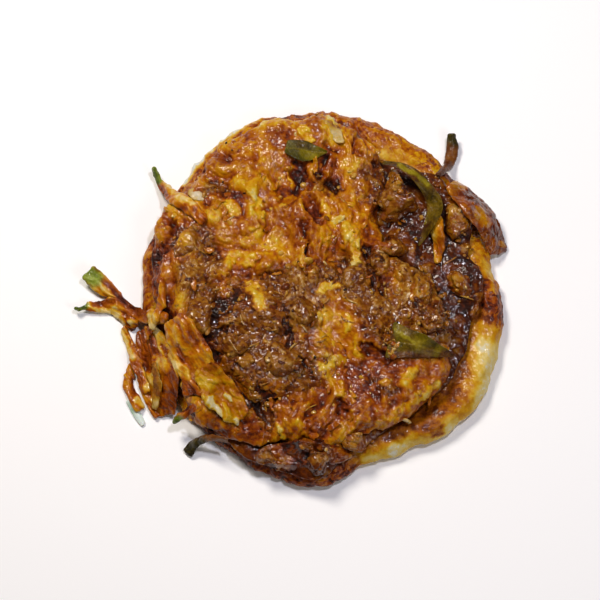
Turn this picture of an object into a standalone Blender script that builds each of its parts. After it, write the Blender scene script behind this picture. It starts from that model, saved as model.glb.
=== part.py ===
"""Beef kizhi parotta: two soft layered flatbreads with a spiced beef roast between and on them.

The part lies flat. The origin is the middle of the lower flatbread's underside, +Z is up, and the
front, where the roast spills over the edge, faces -Y. Each piece rests on the pieces under it, so
every piece is laid on the solids that were made before it.
"""

import math

import bmesh
import bpy
from mathutils import Vector, noise
from mathutils.bvhtree import BVHTree

MM = 0.001
GAP = 0.35 * MM
THINNEST = 0.7 * MM

# Driving sizes of the two flatbreads and the layers on them.
BREAD_THICKNESS = 6.5 * MM
RIM_WIDTH = 17 * MM
RIM_RISE = 2.2 * MM
RIM_RISE_FRONT = 4.6 * MM
EDGE_ROUNDING = 6.0 * MM
UNDERSIDE_SHARE = 0.94
FILLING_THICKNESS = 3.2 * MM
UPPER_BREAD_TOP = 18.5 * MM
LUMP_HEIGHT = 2.3 * MM

# Edge radius in millimetres at each compass angle in degrees, counted from +X towards +Y.
LOWER_BREAD_EDGE = (
    (0, 83.5), (10, 80), (25, 81.5), (45, 85), (60, 88), (75, 90), (90, 91), (110, 92),
    (120, 90), (135, 86.5), (152, 83), (165, 83.5), (180, 81.5), (215, 80), (235, 81.5),
    (250, 84), (268, 87), (285, 79), (300, 80), (312, 85), (325, 87), (345, 84.5),
)
FILLING_EDGE = (
    (0, 73), (6, 74), (16, 70), (28, 78), (46, 79), (60, 70), (90, 72), (130, 72), (180, 72),
    (215, 73), (235, 79), (252, 82), (268, 85), (282, 72), (300, 67), (330, 70), (350, 69),
)
UPPER_BREAD_EDGE = (
    (0, 68), (8, 52), (18, 47), (35, 50), (47, 67), (58, 76), (72, 80), (90, 78), (110, 72.5),
    (130, 64),
    (150, 64), (180, 60), (210, 57), (225, 66), (240, 76), (255, 76), (270, 74), (290, 77),
    (308, 82), (327, 85), (340, 78),
)
UPPER_BREAD_CENTRE = (-16 * MM, 6 * MM)

# Torn hollows (negative) and folded ridges in the upper flatbread: x, y, radius, rise in millimetres.
UPPER_BREAD_FOLDS = (
    (6, 53, 10, -5.5), (-47, -19, 8, -4.5), (8, -22, 8, -3.5), (-34, 6, 8, -3.0),
    (-2, 26, 14, 3.0), (-32, 36, 15, 2.5), (16, 24, 10, 3.2), (18, -14, 12, 3.2),
    (30, -46, 16, 3.0), (-58, 2, 8, 2.0), (-10, -62, 16, 2.0), (-22, 12, 8, 2.4),
)

# Beef pieces: place x, y, length, width, height in millimetres, turn in degrees.
BEEF = {
    "beef_far_right": (35, 47, 27, 22, 11, 70),
    "beef_right_small": (34, 22, 16, 13, 8, 80),
    "beef_right_square": (44, 1, 20, 19, 9.5, 10),
    "beef_right_rim": (62, 4, 15, 10, 10, 95),
    "beef_right_edge": (61, 33, 19, 14, 7, 60),
    "beef_near_leaf": (49, -17, 14, 11, 6.5, 165),
    "beef_middle": (14, 6, 17, 14, 5, 20),
    "beef_centre": (-9, -12, 21, 16, 5, 80),
    "beef_centre_left": (-19, -33, 20, 15, 5, 40),
    "beef_left": (-55, -12, 22, 14, 5.5, 75),
    "beef_left_low": (-40, -27, 17, 15, 5.5, 130),
    "beef_left_dark": (-61, 20, 19, 12, 5, 60),
    "beef_front": (14, -67, 16, 8, 4.5, 15),
    "beef_front_left": (-24, -74.5, 14, 9, 4, 170),
    "beef_front_middle": (-2, -76.5, 13, 10, 4, 30),
}


def smooth_radius(knots, angle):
    """Radius at an angle, eased between the listed ones, which run once round the edge."""
    turn = math.degrees(angle) % 360
    for index, (start, radius) in enumerate(knots):
        end, next_radius = knots[(index + 1) % len(knots)]
        if end <= start:
            end += 360
        if start <= turn < end:
            share = (turn - start) / (end - start)
            ease = share * share * (3 - 2 * share)
            return (radius + (next_radius - radius) * ease) * MM
    return knots[0][1] * MM


def relief(x, y, wavelength, seed):
    """Soft lumps between -1 and 1, with about this distance from one lump to the next."""
    spot = Vector((x / wavelength, y / wavelength, seed))
    return 1.6 * noise.noise(spot)


def bump_around(angle, middle, spread):
    """1 at the middle angle, easing to 0 at the spread on both sides, all in degrees."""
    away = abs((math.degrees(angle) - middle + 180) % 360 - 180)
    return 0.5 + 0.5 * math.cos(math.pi * min(1.0, away / spread))


class Pile:
    """The solids laid so far. It says how high the next piece has to lie."""

    def __init__(self):
        self.trees = []
        self.lifted = []

    def add(self, made):
        tree = BVHTree.FromBMesh(made)
        xs = [v.co.x for v in made.verts]
        ys = [v.co.y for v in made.verts]
        self.trees.append((tree, min(xs), max(xs), min(ys), max(ys)))
        above = made.copy()
        for vertex in above.verts:
            vertex.co.z += 0.6 * GAP
        self.lifted.append(BVHTree.FromBMesh(above))
        above.free()

    def settle(self, made, under):
        """Raises the facets that would cut into the pile, then keeps the piece thick enough."""
        for _ in range(80):
            made.faces.ensure_lookup_table()
            own = BVHTree.FromBMesh(made)
            cut = {pair[0] for tree in self.lifted for pair in own.overlap(tree)}
            if not cut:
                break
            for vertex in {v for index in cut for v in made.faces[index].verts}:
                vertex.co.z += 0.5 * GAP
        points = [tuple(v.co) for v in made.verts]
        below = [[v.index for v in f.verts] for f in made.faces if under.issuperset(f.verts)]
        beneath = BVHTree.FromPolygons(points, below)
        for vertex in made.verts:
            if vertex not in under:
                start = Vector((vertex.co.x, vertex.co.y, 1.0))
                hit = beneath.ray_cast(start, Vector((0, 0, -1)))[0]
                if hit is not None:
                    vertex.co.z = max(vertex.co.z, hit.z + THINNEST)

    def height(self, x, y):
        top = 0.0
        for tree, low_x, high_x, low_y, high_y in self.trees:
            if low_x <= x <= high_x and low_y <= y <= high_y:
                hit = tree.ray_cast(Vector((x, y, 1.0)), Vector((0, 0, -1)))[0]
                if hit is not None:
                    top = max(top, hit.z)
        return top

    def highest(self, x, y, reach):
        """Highest point within reach, so that flat facets laid there clear the lumps below."""
        top = self.height(x, y)
        for ring, count in ((0.55, 6), (1.0, 10)):
            for step in range(count):
                turn = 2 * math.pi * step / count
                side_x = x + reach * ring * math.cos(turn)
                side_y = y + reach * ring * math.sin(turn)
                top = max(top, self.height(side_x, side_y))
        return top


pile = Pile()


def material(name, colour, roughness):
    made = bpy.data.materials.new(name)
    made.use_nodes = True
    shader = made.node_tree.nodes["Principled BSDF"]
    shader.inputs["Base Color"].default_value = (*colour, 1)
    shader.inputs["Roughness"].default_value = roughness
    shader.inputs["Metallic"].default_value = 0
    return made


def finish_solid(made, name, surface, under):
    """Turns the mesh into a named object and lays it on the pile."""
    made.verts.index_update()
    pile.settle(made, under)
    bmesh.ops.recalc_face_normals(made, faces=made.faces)
    mesh = bpy.data.meshes.new(name)
    made.to_mesh(mesh)
    pile.add(made)
    made.free()
    mesh.materials.append(surface)
    mesh.shade_smooth()
    mesh.set_sharp_from_angle(angle=math.radians(60))
    thing = bpy.data.objects.new(name, mesh)
    bpy.context.scene.collection.objects.link(thing)
    return thing


def bridge(made, inner, outer):
    """Triangles between two closed loops that may have different numbers of points."""
    i = j = 0
    while i < len(inner) or j < len(outer):
        here = inner[i % len(inner)]
        there = outer[j % len(outer)]
        if j >= len(outer) or (i < len(inner) and (i + 1) / len(inner) < (j + 1) / len(outer)):
            i += 1
            if len(inner) > 1:
                made.faces.new((here, there, inner[i % len(inner)]))
        else:
            j += 1
            if len(outer) > 1:
                made.faces.new((here, there, outer[j % len(outer)]))


def ring_of(made, centre, edge, share, count, height):
    """A loop of points at this share of the way to the edge."""
    loop = []
    for step in range(count):
        angle = 2 * math.pi * step / count
        radius = edge(angle) * share
        x = centre[0] + radius * math.cos(angle)
        y = centre[1] + radius * math.sin(angle)
        loop.append(made.verts.new((x, y, height(x, y, angle, share))))
    return loop


def disc_solid(name, surface, centre, edge, top, underside, rings, under_rings):
    """A closed disc with an evenly triangled top. With no under_rings its underside is flat."""
    made = bmesh.new()
    loops = [[made.verts.new((*centre, top(*centre, 0, 0)))]]
    for ring in range(1, rings + 1):
        loops.append(ring_of(made, centre, edge, ring / rings, 6 * ring, top))
    if under_rings:
        for ring in range(under_rings, 0, -1):
            share = ring / under_rings * (1 - 0.25 / rings)
            loops.append(ring_of(made, centre, edge, share, 6 * max(ring, 1), underside))
        loops.append([made.verts.new((*centre, underside(*centre, 0, 0)))])
    else:
        loops.append(ring_of(made, centre, edge, UNDERSIDE_SHARE, 6 * rings, underside))
    for inner, outer in zip(loops, loops[1:]):
        bridge(made, inner, outer)
    if not under_rings:
        made.faces.new(loops[-1])
    under = {v for loop in loops[rings + 1:] for v in loop}
    return finish_solid(made, name, surface, under)


def edge_fall(share, radius, drop):
    """How far the top comes down where the outermost few millimetres round over."""
    inward = (1 - share) * radius
    if inward >= EDGE_ROUNDING:
        return 0.0
    left = 1 - inward / EDGE_ROUNDING
    return drop * left * left


def lower_bread(surface):
    """The whole flatbread at the bottom, with its soft rim raised at the front right."""

    def edge(angle):
        scallop = 0.7 * MM * relief(90 * MM * math.cos(angle), 90 * MM * math.sin(angle), 9 * MM, 3)
        return smooth_radius(LOWER_BREAD_EDGE, angle) + scallop

    def top(x, y, angle, share):
        radius = edge(angle)
        inward = (1 - share) * radius
        rise = RIM_RISE + (RIM_RISE_FRONT - RIM_RISE) * bump_around(angle, -32, 75)
        across = min(1.0, abs(inward - 0.45 * RIM_WIDTH) / (0.62 * RIM_WIDTH))
        rim = rise * (0.5 + 0.5 * math.cos(math.pi * across))
        folds = (0.9 * relief(x, y, 13 * MM, 1) + 0.3 * relief(x, y, 5 * MM, 2)) * MM
        return BREAD_THICKNESS + rim + folds - edge_fall(share, radius, 4.0 * MM)

    return disc_solid("lower_parotta", surface, (0.0, 0.0), edge, top,
                      lambda x, y, angle, share: 0.0, rings=17, under_rings=0)


def beef_filling(surface):
    """The wet masala that runs between the flatbreads and shows at the right and the front."""

    def edge(angle):
        wave = 1.3 * MM * relief(80 * MM * math.cos(angle), 80 * MM * math.sin(angle), 8 * MM, 7)
        return smooth_radius(FILLING_EDGE, angle) + wave

    def under(x, y, angle, share):
        return pile.highest(x, y, 4.5 * MM) + GAP

    def top(x, y, angle, share):
        thick = FILLING_THICKNESS + 1.1 * MM * relief(x, y, 10 * MM, 11)
        beside = bump_around(angle, 30, 50) * min(1.0, share * 1.5) * 1.6 * MM
        body = thick + beside - edge_fall(share, edge(angle), 1.6 * MM)
        return pile.highest(x, y, 3 * MM) + GAP + max(1.0 * MM, body)

    return disc_solid("beef_filling", surface, (0.0, 0.0), edge, top, under,
                      rings=14, under_rings=8)


def upper_bread(surface):
    """The soaked and torn flatbread on top, a flaky mass with a ragged edge."""

    def edge(angle):
        ragged = 1.8 * MM * relief(80 * MM * math.cos(angle), 80 * MM * math.sin(angle), 7 * MM, 17)
        return smooth_radius(UPPER_BREAD_EDGE, angle) + ragged

    def under(x, y, angle, share):
        return pile.highest(x, y, 5 * MM) + GAP

    def top(x, y, angle, share):
        crags = LUMP_HEIGHT * relief(x, y, 15 * MM, 21) + 1.1 * MM * relief(x, y, 6.5 * MM, 22)
        for fold_x, fold_y, radius, rise in UPPER_BREAD_FOLDS:
            away = math.hypot(x - fold_x * MM, y - fold_y * MM) / (radius * MM)
            crags += rise * MM * math.exp(-2 * away ** 2)
        dome = 2.2 * MM * (1 - share * share)
        far_side = bump_around(angle, 110, 80) * share * 3.0 * MM
        body = UPPER_BREAD_TOP + dome + crags - far_side
        body -= edge_fall(share, edge(angle), 4.2 * MM)
        return max(body, pile.highest(x, y, 3 * MM) + GAP + 2.2 * MM)

    return disc_solid("upper_parotta", surface, UPPER_BREAD_CENTRE, edge, top, under,
                      rings=17, under_rings=9)


def masala_heap(name, surface, place, size, turn, height, rings, seed):
    """A low heap of minced masala, with lumps of onion and spice that show in its outline."""
    long_side, short_side = size[0] / 2, size[1] / 2

    def edge(angle):
        lean = angle - math.radians(turn)
        round_edge = 1 / math.hypot(math.cos(lean) / long_side, math.sin(lean) / short_side)
        lobes = 1 + 0.22 * relief(math.cos(angle), math.sin(angle), 0.45, seed)
        return round_edge * lobes

    def under(x, y, angle, share):
        return pile.highest(x, y, 3.2 * MM) + GAP

    def top(x, y, angle, share):
        lumps = 1.0 * MM * relief(x, y, 5.5 * MM, seed + 1)
        body = 0.9 * MM + (height + lumps) * (1 - share ** 3)
        return pile.highest(x, y, 2.2 * MM) + GAP + max(0.8 * MM, body)

    return disc_solid(name, surface, place, edge, top, under, rings, max(2, rings // 2))


def beef_piece(name, surface, place, size, turn, seed):
    """A torn cube of beef with rounded corners, its underside shaped by what it lies on."""
    long_side, short_side, height = size[0] / 2, size[1] / 2, size[2]

    def edge(angle):
        lean = angle - math.radians(turn)
        across = abs(math.cos(lean) / long_side) ** 3 + abs(math.sin(lean) / short_side) ** 3
        return across ** (-1 / 3) * (1 + 0.10 * relief(math.cos(angle), math.sin(angle), 0.6, seed))

    bed = pile.height(*place)

    def under(x, y, angle, share):
        return pile.highest(x, y, 3 * MM) + GAP

    def top(x, y, angle, share):
        crown = height * (1 - 0.45 * share ** 3)
        torn = 0.9 * MM * relief(x, y, 4.5 * MM, seed + 3)
        lowest = pile.highest(x, y, 2 * MM) + GAP + 1.2 * MM
        return max(bed + crown + torn - 1.0 * MM, lowest)

    return disc_solid(name, surface, place, edge, top, under, rings=5, under_rings=3)


def eased(values, share):
    """A value along a list of evenly spaced ones, read from a smooth curve through them."""
    place = share * (len(values) - 1)
    index = min(int(place), len(values) - 2)
    t = place - index
    before = values[max(index - 1, 0)]
    start, end = values[index], values[index + 1]
    after = values[min(index + 2, len(values) - 1)]
    return 0.5 * (2 * start + (end - before) * t + (2 * before - 5 * start + 4 * end - after) * t ** 2
                  + (3 * start - before - 3 * end + after) * t ** 3)


def ribbon(name, surface, path, widths, thickness, stations=11, across=2, cup=0.0, lift=(0, 0),
           slope=1.1, wave=0.0, seed=0):
    """A strip laid along a path over the pile: a shred of bread, a leaf or a stalk.

    widths are read along the path, cup raises the strip's two sides, lift raises its two ends,
    and slope is the steepest that it bends down where what carries it ends.
    """
    xs = [p[0] * MM for p in path]
    ys = [p[1] * MM for p in path]
    spots = []
    for step in range(stations):
        share = step / (stations - 1)
        here = Vector((eased(xs, share), eased(ys, share)))
        ahead = Vector((eased(xs, min(1, share + 0.02)), eased(ys, min(1, share + 0.02))))
        behind = Vector((eased(xs, max(0, share - 0.02)), eased(ys, max(0, share - 0.02))))
        along = (ahead - behind).normalized()
        half = max(0.35, eased(widths, share)) * MM / 2
        spots.append((here, Vector((-along.y, along.x)), half))
    reach = 0.5 * (spots[0][0] - spots[1][0]).length
    columns = [2 * step / across - 1 for step in range(across + 1)]
    carried = []
    for here, side, half in spots:
        for k in columns:
            point = here + side * half * k
            carried.append((point, pile.highest(point.x, point.y, reach)))
    made = bmesh.new()
    loops = []
    for index, (here, side, half) in enumerate(spots):
        share = index / (stations - 1)
        tip = lift[0] * (1 - share) ** 3 + lift[1] * share ** 3
        ripple = wave * (1 + relief(share, seed, 0.16, seed))
        upper, lower = [], []
        for k in columns:
            spot = here + side * half * k
            draped = max(height - slope * (spot - point).length for point, height in carried)
            z = draped + GAP + (tip + ripple + cup * k * k) * MM
            thick = thickness * MM * (1 - 0.45 * k * k)
            upper.append(made.verts.new((spot.x, spot.y, z + thick)))
            lower.append(made.verts.new((spot.x, spot.y, z)))
        loops.append((upper, lower))
    for (upper, lower), (next_upper, next_lower) in zip(loops, loops[1:]):
        for k in range(across):
            made.faces.new((upper[k], upper[k + 1], next_upper[k + 1]))
            made.faces.new((upper[k], next_upper[k + 1], next_upper[k]))
            made.faces.new((lower[k], next_lower[k + 1], lower[k + 1]))
            made.faces.new((lower[k], next_lower[k], next_lower[k + 1]))
        for k, flip in ((0, False), (across, True)):
            wall = [lower[k], upper[k], next_upper[k], next_lower[k]]
            made.faces.new(wall[::-1] if flip else wall)
    for (upper, lower), flip in ((loops[0], False), (loops[-1], True)):
        for k in range(across):
            cap = [upper[k], lower[k], lower[k + 1], upper[k + 1]]
            made.faces.new(cap[::-1] if flip else cap)
    bmesh.ops.triangulate(made, faces=made.faces)
    under = {v for upper, lower in loops for v in lower}
    return finish_solid(made, name, surface, under)


def build():
    for thing in list(bpy.data.objects):
        bpy.data.objects.remove(thing)

    bread = material("pale_bread", (0.62, 0.46, 0.13), 0.5)
    soaked = material("soaked_bread", (0.45, 0.19, 0.02), 0.4)
    gravy = material("gravy", (0.13, 0.045, 0.012), 0.3)
    masala = material("masala", (0.2, 0.085, 0.025), 0.35)
    beef = material("beef", (0.17, 0.075, 0.028), 0.4)
    leaf = material("curry_leaf", (0.09, 0.07, 0.012), 0.35)
    shred = material("bread_shred", (0.5, 0.24, 0.04), 0.35)
    onion = material("onion", (0.6, 0.5, 0.32), 0.3)
    pale = material("bare_dough", (0.55, 0.62, 0.5), 0.4)

    lower_bread(bread)
    beef_filling(gravy)
    upper_bread(soaked)
    masala_heap("masala_middle", masala, (-24 * MM, -24 * MM), (74 * MM, 50 * MM), 150,
                3.2 * MM, rings=9, seed=31)
    masala_heap("masala_right", masala, (44 * MM, -14 * MM), (34 * MM, 24 * MM), 120,
                2.0 * MM, rings=5, seed=37)
    masala_heap("masala_front", masala, (-8 * MM, -73 * MM), (46 * MM, 12 * MM), 3,
                1.8 * MM, rings=6, seed=41)
    for number, (name, (x, y, length, width, height, turn)) in enumerate(BEEF.items()):
        beef_piece(name, beef, (x * MM, y * MM), (length * MM, width * MM, height * MM), turn,
                   50 + 3 * number)

    # Onion slices on the upper bread.
    ribbon("onion_far", onion, ((3, 83), (6, 77), (9, 71)), (3, 7, 3), 1.4, stations=7, cup=0.3)
    ribbon("onion_left", onion, ((-60, 49), (-56, 46), (-51, 45)), (2, 6, 3), 1.4, stations=6)

    # Torn strips of the upper bread that trail off at the left, the lowest of them first.
    ribbon("dough_tip", pale, ((-86, -45), (-83, -51), (-79.5, -57)), (4, 4, 2.6), 1.2, stations=6)
    ribbon("shred_far_left", shred, ((-84, -25), (-86, -33), (-86, -41), (-81, -50)),
           (2, 4, 5, 4), 1.6, stations=9, seed=6)
    ribbon("shred_spike", shred, ((-66, -57.5), (-60, -54.5), (-53, -52)), (1.2, 4, 5), 1.6,
           stations=6, lift=(2, 0))
    ribbon("shred_wide_outer", shred, ((-79, -13), (-76, -26), (-72, -40), (-70, -53)),
           (9, 17, 18, 10), 1.1, across=4, cup=0.6, wave=0.3, seed=2)
    ribbon("shred_fork_upper", shred, ((-105.5, 13), (-100, 8), (-92, 1), (-82, -7), (-69, -12)),
           (7, 8, 6, 6, 4), 2.2, lift=(5, 0), seed=3)
    ribbon("shred_fork_lower", shred, ((-111, -4), (-101, -2), (-92, -3), (-84, -13)),
           (0.8, 5, 6, 4), 1.8, lift=(3, 0), seed=4)
    ribbon("shred_wide_inner", shred, ((-66, -14), (-60, -24), (-55, -36), (-57, -48)),
           (8, 15, 16, 9), 1.1, stations=10, across=4, cup=0.8, wave=0.3, seed=1)
    ribbon("shred_left_edge", shred, ((-89, -12), (-86, -20), (-82, -31), (-78, -43)),
           (2, 4, 4.5, 3), 1.5, seed=5)
    ribbon("shred_pale_strip", onion, ((-75, -30), (-73, -40), (-75, -50)), (2, 4, 2.5), 1.0,
           stations=7, seed=7)
    ribbon("shred_cross", shred, ((-71, 6), (-71, -4), (-75, -13), (-79, -20)), (2, 3.2, 3, 1.2),
           1.4, seed=8)
    ribbon("shred_horn", shred, ((-76.5, 62), (-71, 51), (-61, 41), (-52, 32)), (1.2, 4.5, 6.5, 4),
           2.4, lift=(5, 0), seed=9)

    # A strip of bread between the beef at the right, and the folded piece at the front left.
    ribbon("shred_right", shred, ((52, 41), (52, 33), (53, 24), (53, 15)), (3, 5, 5, 3), 2.0,
           stations=8, cup=-0.4, seed=10)
    ribbon("torn_fold", bread, ((-52, -36), (-45, -47), (-35, -58)), (8, 15, 9), 1.6,
           stations=9, across=4, cup=1.4, wave=0.4, seed=5)

    # Curry leaves, their stalks and the gravy-soaked scrap that hangs over the right edge.
    ribbon("leaf_far", leaf, ((-16, 68), (-7, 66), (3, 66)), (6, 10, 1), 0.6, stations=8,
           across=4, cup=0.8, wave=0.3, seed=11)
    ribbon("leaf_curled", leaf, ((28, 61), (40, 56), (51, 44), (50, 34), (44, 23)),
           (2, 5, 7.5, 6, 1), 0.7, across=4, cup=0.9, wave=0.4, seed=12)
    ribbon("leaf_near", leaf, ((30, -23), (42, -26), (59, -29)), (17, 11, 1), 0.6, stations=9,
           across=4, cup=1.0, wave=0.3, seed=13)
    ribbon("stalk_far", leaf, ((60.5, 79), (60.5, 71), (58, 63), (53, 56)), (4, 6, 4, 3), 3.2,
           lift=(4, 0), seed=14)
    ribbon("stalk_front", leaf, ((-60, -70), (-56, -66), (-49, -65), (-41, -67)), (5.5, 5, 3, 2),
           2.6, stations=9, seed=15)
    ribbon("scrap_right", gravy, ((59, 53), (67, 44), (76, 33), (81, 22)), (7, 13, 13, 9), 2.4,
           stations=9, across=4, seed=16)


build()
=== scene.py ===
"""Looks of a beef kizhi parotta: two soaked flatbreads with beef roast, dressed round its solids.

Lengths are metres, +Z is up and the camera stands at the front, on the -Y side.
"""

import math

import bmesh
import bpy
import numpy as np
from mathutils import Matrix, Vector


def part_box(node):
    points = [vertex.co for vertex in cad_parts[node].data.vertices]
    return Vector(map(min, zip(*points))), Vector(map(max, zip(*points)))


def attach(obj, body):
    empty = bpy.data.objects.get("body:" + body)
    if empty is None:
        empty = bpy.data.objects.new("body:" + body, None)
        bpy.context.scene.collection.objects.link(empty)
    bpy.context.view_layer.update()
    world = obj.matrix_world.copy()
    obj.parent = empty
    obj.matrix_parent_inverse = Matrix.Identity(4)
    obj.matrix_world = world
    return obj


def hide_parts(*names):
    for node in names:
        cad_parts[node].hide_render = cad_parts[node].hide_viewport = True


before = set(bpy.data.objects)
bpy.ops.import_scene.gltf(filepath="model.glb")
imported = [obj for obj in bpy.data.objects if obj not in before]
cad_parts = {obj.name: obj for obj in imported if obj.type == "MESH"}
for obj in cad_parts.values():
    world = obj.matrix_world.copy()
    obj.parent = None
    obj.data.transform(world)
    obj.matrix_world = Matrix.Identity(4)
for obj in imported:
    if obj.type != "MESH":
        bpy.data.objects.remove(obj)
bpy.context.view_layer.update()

# Camera. The photograph looks steeply down on the food from its front, with little perspective.
# One of its pixels is 0.45 mm on the bread.
MM = 0.001
PHOTO_SIZE = 600
PIXEL_ON_FOOD = 0.45 * MM
CAMERA_ELEVATION = math.radians(75)
CAMERA_DISTANCE = 1100 * MM
CAMERA_AIM = np.array((-9.45, -1.4, 10.0)) * MM

towards_camera = np.array((0, -math.cos(CAMERA_ELEVATION), math.sin(CAMERA_ELEVATION)))
camera_up = np.array((0, math.sin(CAMERA_ELEVATION), math.cos(CAMERA_ELEVATION)))
camera_place = CAMERA_AIM + CAMERA_DISTANCE * towards_camera
lens = bpy.data.cameras.new("camera")
lens.angle = 2 * math.atan(PHOTO_SIZE / 2 * PIXEL_ON_FOOD / CAMERA_DISTANCE)
camera = bpy.data.objects.new("camera", lens)
camera.location = camera_place
camera.rotation_euler = (math.pi / 2 - CAMERA_ELEVATION, 0, 0)
bpy.context.scene.collection.objects.link(camera)
bpy.context.scene.camera = camera
bpy.context.scene.view_settings.view_transform = "Standard"


def photo_pixels(points):
    """Where the camera sees points of the food, in the photograph's pixels from its top left."""
    away = points - camera_place
    depth = away @ -towards_camera
    right = away[:, 0] / depth * CAMERA_DISTANCE / PIXEL_ON_FOOD
    up = away @ camera_up / depth * CAMERA_DISTANCE / PIXEL_ON_FOOD
    return np.stack((PHOTO_SIZE / 2 + right, PHOTO_SIZE / 2 - up), 1)


# Studio. A plain pale floor, a soft light from above, and two smaller lamps that give the wet
# food its small cool glints.
def linear(hex_colour):
    """Linear red, green, blue and alpha of an sRGB hex value."""
    shares = [int(hex_colour[place:place + 2], 16) / 255 for place in (1, 3, 5)]
    return tuple(s / 12.92 if s <= 0.04045 else ((s + 0.055) / 1.055) ** 2.4 for s in shares) + (1,)


def add_node(tree, kind, inputs=None, stops=None, **settings):
    """Adds a node. An input is a value or another node's output, and a ramp has its stops as
    (place, hex colour).
    """
    node = tree.nodes.new(kind)
    for name, value in settings.items():
        setattr(node, name, value)
    for name, value in (inputs or {}).items():
        if isinstance(value, bpy.types.NodeSocket):
            tree.links.new(value, node.inputs[name])
        else:
            node.inputs[name].default_value = value
    if stops:
        while len(node.color_ramp.elements) < len(stops):
            node.color_ramp.elements.new(0.5)
        for element, (place, colour) in zip(node.color_ramp.elements, stops):
            element.position = place
            element.color = linear(colour)
    return node


FLOOR_SIZE = 4.0
FLOOR_HEIGHT = -0.3 * MM
# Each lamp's place and disk size in metres, its power in watts and its colour.
LAMPS = {
    "far_left_window": ((-0.34, 0.42, 0.78), 0.25, 6.8, "#FFF6EA"),
    "near_right_fill": ((0.45, -0.40, 0.60), 0.40, 1.3, "#FFFAF4"),
    "overhead_glint": ((0.16, 0.10, 0.85), 0.065, 2.7, "#F4F2FF"),
}

floor_mesh = bpy.data.meshes.new("floor")
half = FLOOR_SIZE / 2
floor_mesh.from_pydata([(-half, -half, 0), (half, -half, 0), (half, half, 0), (-half, half, 0)],
                       [], [(0, 1, 2, 3)])
floor = bpy.data.objects.new("floor", floor_mesh)
floor.location.z = FLOOR_HEIGHT
bpy.context.scene.collection.objects.link(floor)
# Matt white paper: an even, pale ground that takes soft shadows and has no gloss.
pale_paper = bpy.data.materials.new("pale_paper")
pale_paper.use_nodes = True
pale_paper.node_tree.nodes["Principled BSDF"].inputs["Base Color"].default_value = linear("#F9FAFC")
pale_paper.node_tree.nodes["Principled BSDF"].inputs["Roughness"].default_value = 0.9
floor_mesh.materials.append(pale_paper)

for lamp_name, (place, size, power, colour) in LAMPS.items():
    lamp = bpy.data.lights.new(lamp_name, "AREA")
    lamp.shape = "DISK"
    lamp.size = size
    lamp.energy = power
    lamp.color = linear(colour)[:3]
    holder = bpy.data.objects.new(lamp_name, lamp)
    holder.location = place
    holder.rotation_euler = (-Vector(place)).to_track_quat("-Z", "Y").to_euler()
    bpy.context.scene.collection.objects.link(holder)

room = bpy.data.worlds.new("room")
room.use_nodes = True
room.node_tree.nodes["Background"].inputs["Color"].default_value = linear("#EDEBE8")
room.node_tree.nodes["Background"].inputs["Strength"].default_value = 0.05
bpy.context.scene.world = room


# Lower parotta. A whole flatbread of coiled, oiled dough, patted flat and griddled: soft, creamy
# to yellow, with a thick rim that shows at the right and the front. Gravy has run over its rim.
def fine_solid(name, node, levels):
    """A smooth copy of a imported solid, divided finely enough to carry real relief."""
    thing = bpy.data.objects.new(name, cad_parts[node].data.copy())
    thing.data.materials.clear()
    bpy.context.scene.collection.objects.link(thing)
    weld = thing.modifiers.new("weld", "WELD")
    weld.merge_threshold = 0.001 * MM
    finer = thing.modifiers.new("finer", "SUBSURF")
    finer.levels = finer.render_levels = levels
    evaluated = thing.evaluated_get(bpy.context.evaluated_depsgraph_get())
    smooth = bpy.data.meshes.new_from_object(evaluated)
    thing.modifiers.clear()
    thing.data = smooth
    smooth.shade_smooth()
    return thing


def points_of(thing):
    flat = np.empty(len(thing.data.vertices) * 3, np.float32)
    thing.data.vertices.foreach_get("co", flat)
    return flat.reshape(-1, 3).astype(float)


def normals_of(thing):
    flat = np.empty(len(thing.data.vertices) * 3, np.float32)
    thing.data.vertex_normals.foreach_get("vector", flat)
    return flat.reshape(-1, 3).astype(float)


def reshape(thing, points):
    thing.data.vertices.foreach_set("co", points.astype(np.float32).ravel())
    thing.data.update()


def raise_surface(thing, points, relief_mm, lowest=None):
    """Moves a surface's points out along its normals by a relief in millimetres."""
    raised = points + normals_of(thing) * (relief_mm * MM)[:, None]
    if lowest is not None:
        raised[:, 2] = np.maximum(raised[:, 2], lowest)
    reshape(thing, raised)


def paint(thing, covers):
    """Stores how much of each layer covers the surface, 0 to 1, for the material to read."""
    for name, cover in covers.items():
        layer = thing.data.attributes.new(name, "FLOAT", "POINT")
        layer.data.foreach_set("value", np.clip(cover, 0, 1).astype(np.float32))


def corner_random(corner, seed, count):
    """Repeatable random numbers from 0 to 1 for whole-number grid corners."""
    key = corner @ np.array((73856093, 19349663, 83492791)) + seed * 2654435
    numbers = []
    for turn in range(count):
        key = (key ^ (key >> 15)) * 739982445 + turn * 69069 & 0x7FFFFFFF
        key = (key ^ (key >> 12)) * 695872825 & 0x7FFFFFFF
        numbers.append(((key >> 7) & 0xFFFF) / 65535)
    return np.stack(numbers, -1)


def lumps(points, wavelength, seed):
    """Smooth noise, about -1 to 1, with this distance from one lump to the next."""
    cell = points / wavelength + 31.7 * seed
    corner = np.floor(cell).astype(np.int64)
    inside = cell - corner
    ease = inside ** 3 * (inside * (inside * 6 - 15) + 10)
    total = np.zeros(len(points))
    for step in np.ndindex(2, 2, 2):
        slope = corner_random(corner + step, seed, 3) * 2 - 1
        weight = np.prod(np.where(step, ease, 1 - ease), axis=1)
        total += weight * np.einsum("ij,ij->i", inside - step, slope)
    return 1.7 * total


def swell(points, *waves):
    """Lumps of several sizes added up: each wave is its share, its millimetres and its seed."""
    return sum(share * lumps(points, size * MM, seed) for share, size, seed in waves)


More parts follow.
